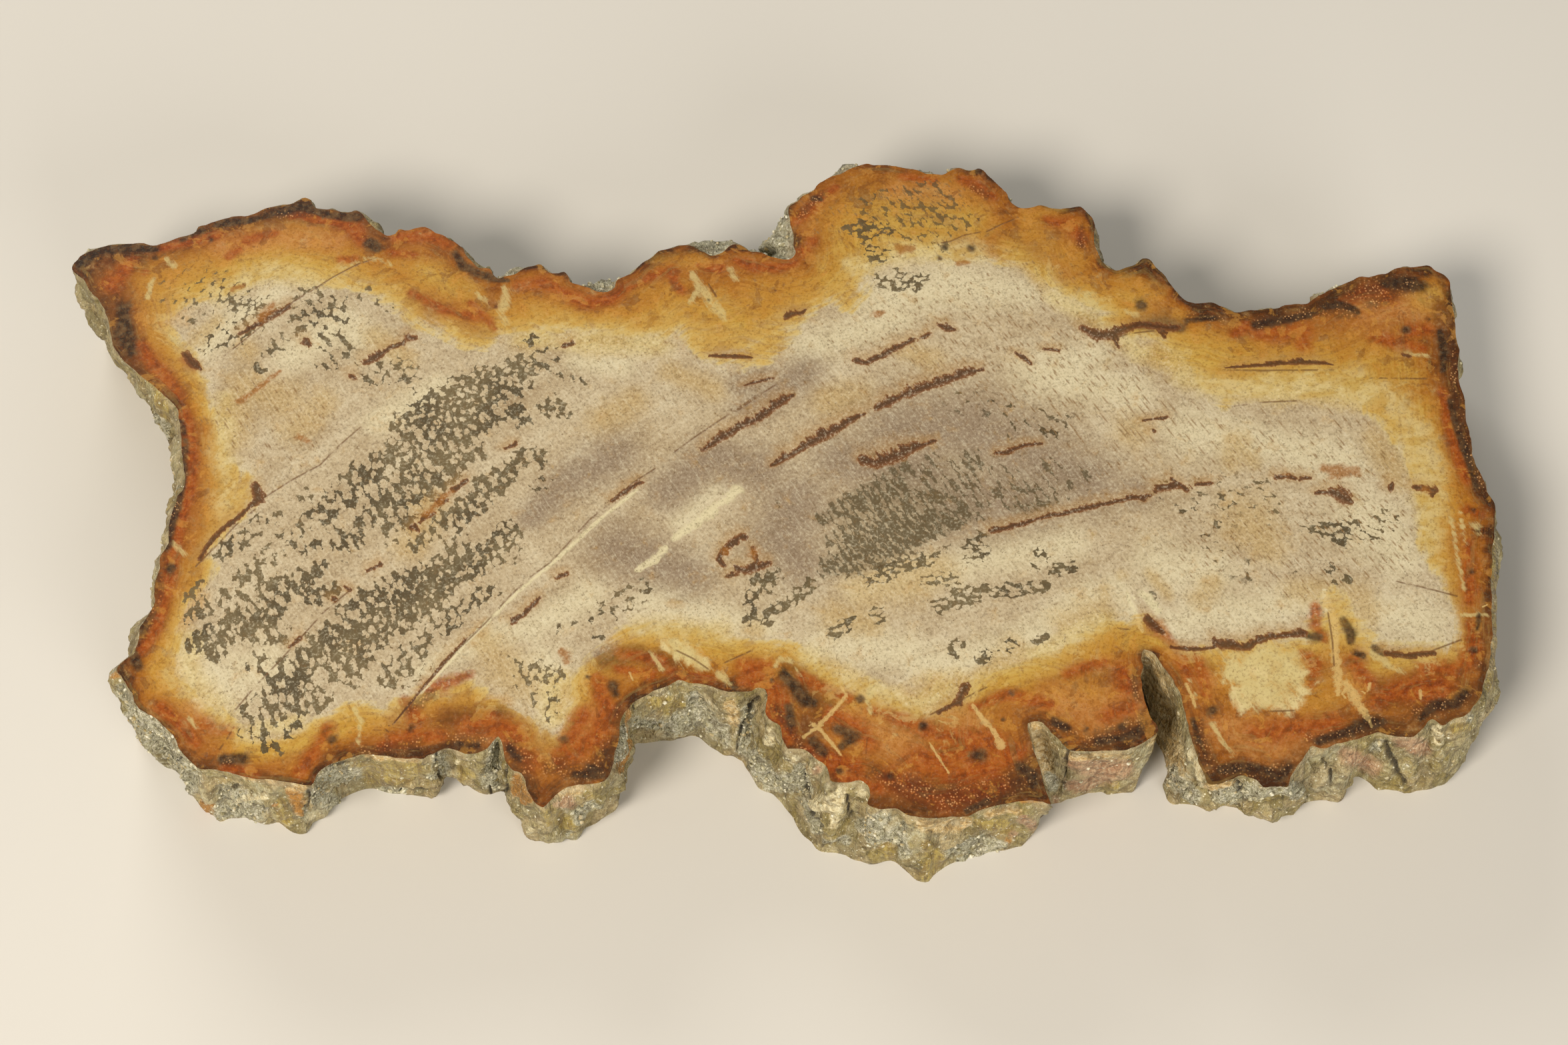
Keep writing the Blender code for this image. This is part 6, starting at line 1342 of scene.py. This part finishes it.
    roughness = rubble["roughness"] - skin * 0.22 - glint * 0.35 + (fleck - 0.5) * 0.3
    height = ((fleck - 0.5) * (1.0 + grit * 1.6) * (1 - skin * 0.6) + (dust - 0.5) * 0.5 * (0.4 + grit)
              + (standing - 0.5) * 1.1 + (shelf * -0.5) * (1 - skin * 0.6))
    finishMaterial(desk, {
        "Base Color": colour, "Roughness": roughness, "Specular IOR Level": rubble["specular"]},
        rubble["bump"], height)
    return material


sawn = {"cloud": 14, "fleck": 1.6, "bump": (0.5, 0.2), "roughness": 0.68}


def sawnFinish():
    material, desk = newMaterial("sawnBack")
    place = desk.place()
    grain = desk.add("ShaderNodeAttribute", {"attribute_name": "grain"}, out=1)
    cloud = desk.noise(place, sawn["cloud"], 4, 0.6)
    fleck = desk.noise(place, sawn["fleck"], 3, 0.6)
    ringLine = desk.noise(desk.stretched(grain, (0.012, 0.42, 0)), 1, 3, 0.65)
    saw = desk.noise(desk.stretched(place, (0.02, 1.6, 0)), 1, 2, 0.5)
    tone = (cloud - 0.5) * 1.8 + (ringLine - 0.5) * 1.2 + 0.5
    colour = desk.ramp(tone, (0.1, "8f6a3e"), (0.35, "a8895c"), (0.6, "b7a07a"), (0.9, "c2b393"))
    colour = desk.blend((fleck - 0.52).rise(0.0, 0.12) * 0.4, colour, "7c6a4a")
    colour = desk.blend((saw - 0.5).rise(0.0, 0.2) * 0.18, colour, "ddd2b8")
    roughness = sawn["roughness"] + (fleck - 0.5) * 0.2
    finishMaterial(desk, {"Base Color": colour, "Roughness": roughness}, sawn["bump"], saw + fleck * 0.5)
    return material


finishes = [polishedFinish(), brokenFinish(), sawnFinish()]
print("finishes made")


# Geometry Nodes give the wall its fine relief, from the slab's own fields
def newTree(name, values):
    tree = bpy.data.node_groups.new(name, "GeometryNodeTree")
    tree.interface.new_socket("Geometry", in_out="INPUT", socket_type="NodeSocketGeometry")
    for label, value in values.items():
        kind = "NodeSocketInt" if isinstance(value, int) else "NodeSocketFloat"
        tree.interface.new_socket(label, in_out="INPUT", socket_type=kind).default_value = value
    tree.interface.new_socket("Geometry", in_out="OUTPUT", socket_type="NodeSocketGeometry")
    desk = Desk(tree)
    given = tree.nodes.new("NodeGroupInput")
    return tree, desk, {socket.name: Wire(desk, socket) for socket in given.outputs}


def endTree(tree, shape):
    result = tree.nodes.new("NodeGroupOutput")
    tree.links.new(shape.socket, result.inputs[0])
    return tree


def reliefTree():
    tree, desk, sizes = newTree("brokenWallRelief", relief)

    def rough(where, size, detail):
        return desk.add("ShaderNodeTexNoise", {"noise_dimensions": "4D"}, {
            "Vector": where, "W": sizes["Seed"], "Scale": 1000 / size, "Detail": detail, "Roughness": 0.6})

    position = desk.add("GeometryNodeInputPosition")
    normal = desk.add("GeometryNodeInputNormal")
    fluted = desk.stretched(position, (1, 1, 0.14))
    lumps = (rough(position, sizes["Lump Size"], 3.0) - 0.5) * sizes["Lump Height"] * 2
    flutes = (rough(fluted, 1.6, 2.0) - 0.5) * sizes["Flute Height"] * 2
    leaning = desk.add("ShaderNodeCombineXYZ", {}, {0: 1.0, 1: 1.0, 2: sizes["Facet Lean"]})
    facets = desk.add("ShaderNodeTexVoronoi", {}, {
        "Vector": desk.stretched(position, leaning), "Scale": 1000 / sizes["Facet Size"], "Randomness": 1.0})
    lumps = lumps + (0.45 - facets) * sizes["Facet Height"] * 1.6
    smooth = 1 - desk.named("wallSkin").rise(0.3, 0.7) * 0.75 - desk.named("wallRose").rise(0.3, 0.7) * 0.5
    gritty = 0.35 + desk.named("wallGrit").rise(0.3, 0.7) * 0.65
    grains = (rough(position, sizes["Grit Size"], 2.0) - 0.5) * sizes["Grit Height"] * 2 * gritty
    cleft = desk.named("wallCleft").rise(0.3, 0.9) * sizes["Cleft Depth"]
    lump = desk.named("wallLump").rise(0.3, 0.9) * 0.45
    push = ((lumps + flutes + grains) * smooth - cleft + lump) * desk.named("give") * 0.001
    offset = desk.add("ShaderNodeVectorMath", {"operation": "SCALE"}, {0: normal, "Scale": push})
    shape = desk.add("GeometryNodeSetPosition", {}, {"Geometry": sizes["Geometry"], "Offset": offset})
    shape = desk.add("GeometryNodeRealizeInstances", {}, {0: shape})
    for index, finish in enumerate(finishes):
        isZone = desk.add("FunctionNodeCompare", {"data_type": "INT", "operation": "EQUAL"},
                          {2: desk.named("zone", "INT"), 3: index})
        shape = desk.add("GeometryNodeSetMaterial", {}, {
            "Geometry": shape, "Selection": isZone, "Material": finish})
    return endTree(tree, shape)


def applyTree(mesh, name, tree, values):
    rough = bpy.data.objects.new(name + "Base", mesh)
    scene.collection.objects.link(rough)
    modifier = rough.modifiers.new(name, "NODES")
    modifier.node_group = tree
    for item in tree.interface.items_tree:
        if item.in_out == "INPUT" and item.name in values:
            modifier[item.identifier] = values[item.name]
    bpy.context.view_layer.update()
    seen = rough.evaluated_get(bpy.context.evaluated_depsgraph_get())
    made = bpy.data.meshes.new_from_object(seen, preserve_all_data_layers=True,
                                           depsgraph=bpy.context.evaluated_depsgraph_get())
    rough.modifiers.remove(modifier)
    bpy.data.objects.remove(rough)
    made.name = name
    piece = bpy.data.objects.new(name, made)
    scene.collection.objects.link(piece)
    return piece


def keepInBox(piece):  # the relief stays inside the CAD box
    points = np.array([vert.co for vert in piece.data.vertices])
    inside = np.clip(points, *(np.array(corner) for corner in cadBox))
    piece.data.vertices.foreach_set("co", inside.astype(np.float32).ravel())
    piece.data.update()


petrifiedSlab = applyTree(slabMesh, "petrifiedSlab", reliefTree(), relief)
keepInBox(petrifiedSlab)
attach(petrifiedSlab, "root")
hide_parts("petrified_wood_slice")
print("slab finished:", sum(len(face.vertices) - 2 for face in petrifiedSlab.data.polygons), "triangles")

# quartz grains cemented on the wall's gritty patches
crumbs = {"Density": 3.2e5, "Smallest": 0.2, "Largest": 0.5, "Seed": 5}
crumbLook = {"fleck": 0.9, "patch": 4, "bump": (0.4, 0.1)}


def crumbTree(finish):
    tree, desk, inputs = newTree("quartzCrumbs", crumbs)
    rich = (desk.named("wallGrit") + desk.named("wallLump") * 0.6).rise(0.35, 0.7)
    gritty = rich * desk.named("give").rise(0.05, 0.5)
    density = inputs["Density"] * (gritty + desk.named("give").rise(0.1, 0.6) * 0.05)
    points = desk.add("GeometryNodeDistributePointsOnFaces", {}, {
        "Mesh": inputs["Geometry"], "Density": density, "Seed": inputs["Seed"]})
    crumb = desk.add("GeometryNodeMeshIcoSphere", {}, {"Radius": 0.001, "Subdivisions": 1})
    turn = desk.add("FunctionNodeRandomValue", {"data_type": "FLOAT_VECTOR"}, {
        1: (6.3, 6.3, 6.3), "Seed": inputs["Seed"] + 1})
    wide = desk.add("FunctionNodeRandomValue", {"data_type": "FLOAT"}, {
        2: inputs["Smallest"], 3: inputs["Largest"], "Seed": inputs["Seed"] + 2}, 1)
    squash = desk.add("FunctionNodeRandomValue", {"data_type": "FLOAT_VECTOR"}, {
        0: (0.6, 0.6, 0.6), 1: (1.2, 1.2, 1.2), "Seed": inputs["Seed"] + 3})
    scale = desk.add("ShaderNodeVectorMath", {"operation": "SCALE"}, {0: squash, "Scale": wide})
    shape = desk.add("GeometryNodeInstanceOnPoints", {}, {
        "Points": points, "Instance": crumb, "Rotation": turn, "Scale": scale})
    shape = desk.add("GeometryNodeRealizeInstances", {}, {0: shape})
    shape = desk.add("GeometryNodeSetMaterial", {}, {"Geometry": shape, "Material": finish})
    return endTree(tree, shape)


def crumbFinish():
    material, desk = newMaterial("quartzCrumb")
    place = desk.place()
    fleck = desk.noise(place, crumbLook["fleck"], 2, 0.6)
    patch = desk.noise(place, crumbLook["patch"], 2, 0.6)
    colour = desk.ramp(fleck, (0.34, "837a58"), (0.46, "aaa280"), (0.56, "c3bc9c"), (0.68, "e4dfca"))
    colour = desk.blend((patch - 0.52).rise(0.0, 0.1) * 0.5, colour, "a5853f")
    roughness = 0.3 + (fleck - 0.4) * 0.9
    finishMaterial(desk, {"Base Color": colour, "Roughness": roughness}, crumbLook["bump"], fleck)
    return material


quartzCrumbs = applyTree(petrifiedSlab.data.copy(), "quartzCrumbs", crumbTree(crumbFinish()), crumbs)
keepInBox(quartzCrumbs)
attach(quartzCrumbs, "root")
print("crumbs:", len(quartzCrumbs.data.polygons), "triangles")

# floor, light and camera
studio = {
    "floorTone": "d9d5cc",
    "floorHalf": 12,  # m
    "skyTone": "f2efe9",
    "skyStrength": 0.22,
    "target": (0, 0, 0.01),
    "lamps": {  # place and width in m, power in W, tone
        "keyLamp": ((-0.55, -0.75, 1.0), 0.5, 15.6, "fff6ea"),
        "fillLamp": ((0.6, -1.1, 0.45), 0.8, 9, "f8f6f4"),
        "backLamp": ((-0.5, 1.15, 0.6), 0.8, 10, "f6f4ef"),
    },
}


def makeFloor():
    mesh = bpy.data.meshes.new("studioFloor")
    side = studio["floorHalf"]
    corners = [(-side, -side, 0), (side, -side, 0), (side, side, 0), (-side, side, 0)]
    mesh.from_pydata(corners, [], [(0, 1, 2, 3)])
    material, desk = newMaterial("paleFloor")
    finishMaterial(desk, {"Base Color": tint(studio["floorTone"]), "Roughness": 0.95,
                          "Specular IOR Level": 0.0})
    mesh.materials.append(material)
    floor = bpy.data.objects.new("studioFloor", mesh)
    scene.collection.objects.link(floor)


def makeLamp(name, place, size, power, tone):
    lamp = bpy.data.lights.new(name, "AREA")
    lamp.shape = "DISK"
    lamp.size = size
    lamp.energy = power
    lamp.color = tint(tone)[:3]
    holder = bpy.data.objects.new(name, lamp)
    holder.location = place
    toTarget = Vector(studio["target"]) - Vector(place)
    holder.rotation_euler = toTarget.to_track_quat("-Z", "Y").to_euler()
    scene.collection.objects.link(holder)


makeFloor()
for name, lamp in studio["lamps"].items():
    makeLamp(name, *lamp)
world = bpy.data.worlds.new("studioSky")
world.use_nodes = True
sky = world.node_tree.nodes["Background"]
sky.inputs["Color"].default_value = tint(studio["skyTone"])
sky.inputs["Strength"].default_value = studio["skyStrength"]
scene.world = world
scene.view_settings.view_transform = "Standard"

aim = Vector((slab["markOrigin"][0], slab["markOrigin"][1], slab["thickness"])) / 1000
lookFrom = Vector((0, -math.cos(sight["rise"]), math.sin(sight["rise"])))
eye = bpy.data.cameras.new("photoCamera")
eye.lens = sight["lens"]
eye.sensor_width = sight["sensor"]
eye.clip_start = 0.01
camera = bpy.data.objects.new("photoCamera", eye)
camera.location = aim + lookFrom * sight["reach"] / 1000
camera.rotation_euler = (-lookFrom).to_track_quat("-Z", "Y").to_euler()
scene.collection.objects.link(camera)
scene.camera = camera
print("studio ready")
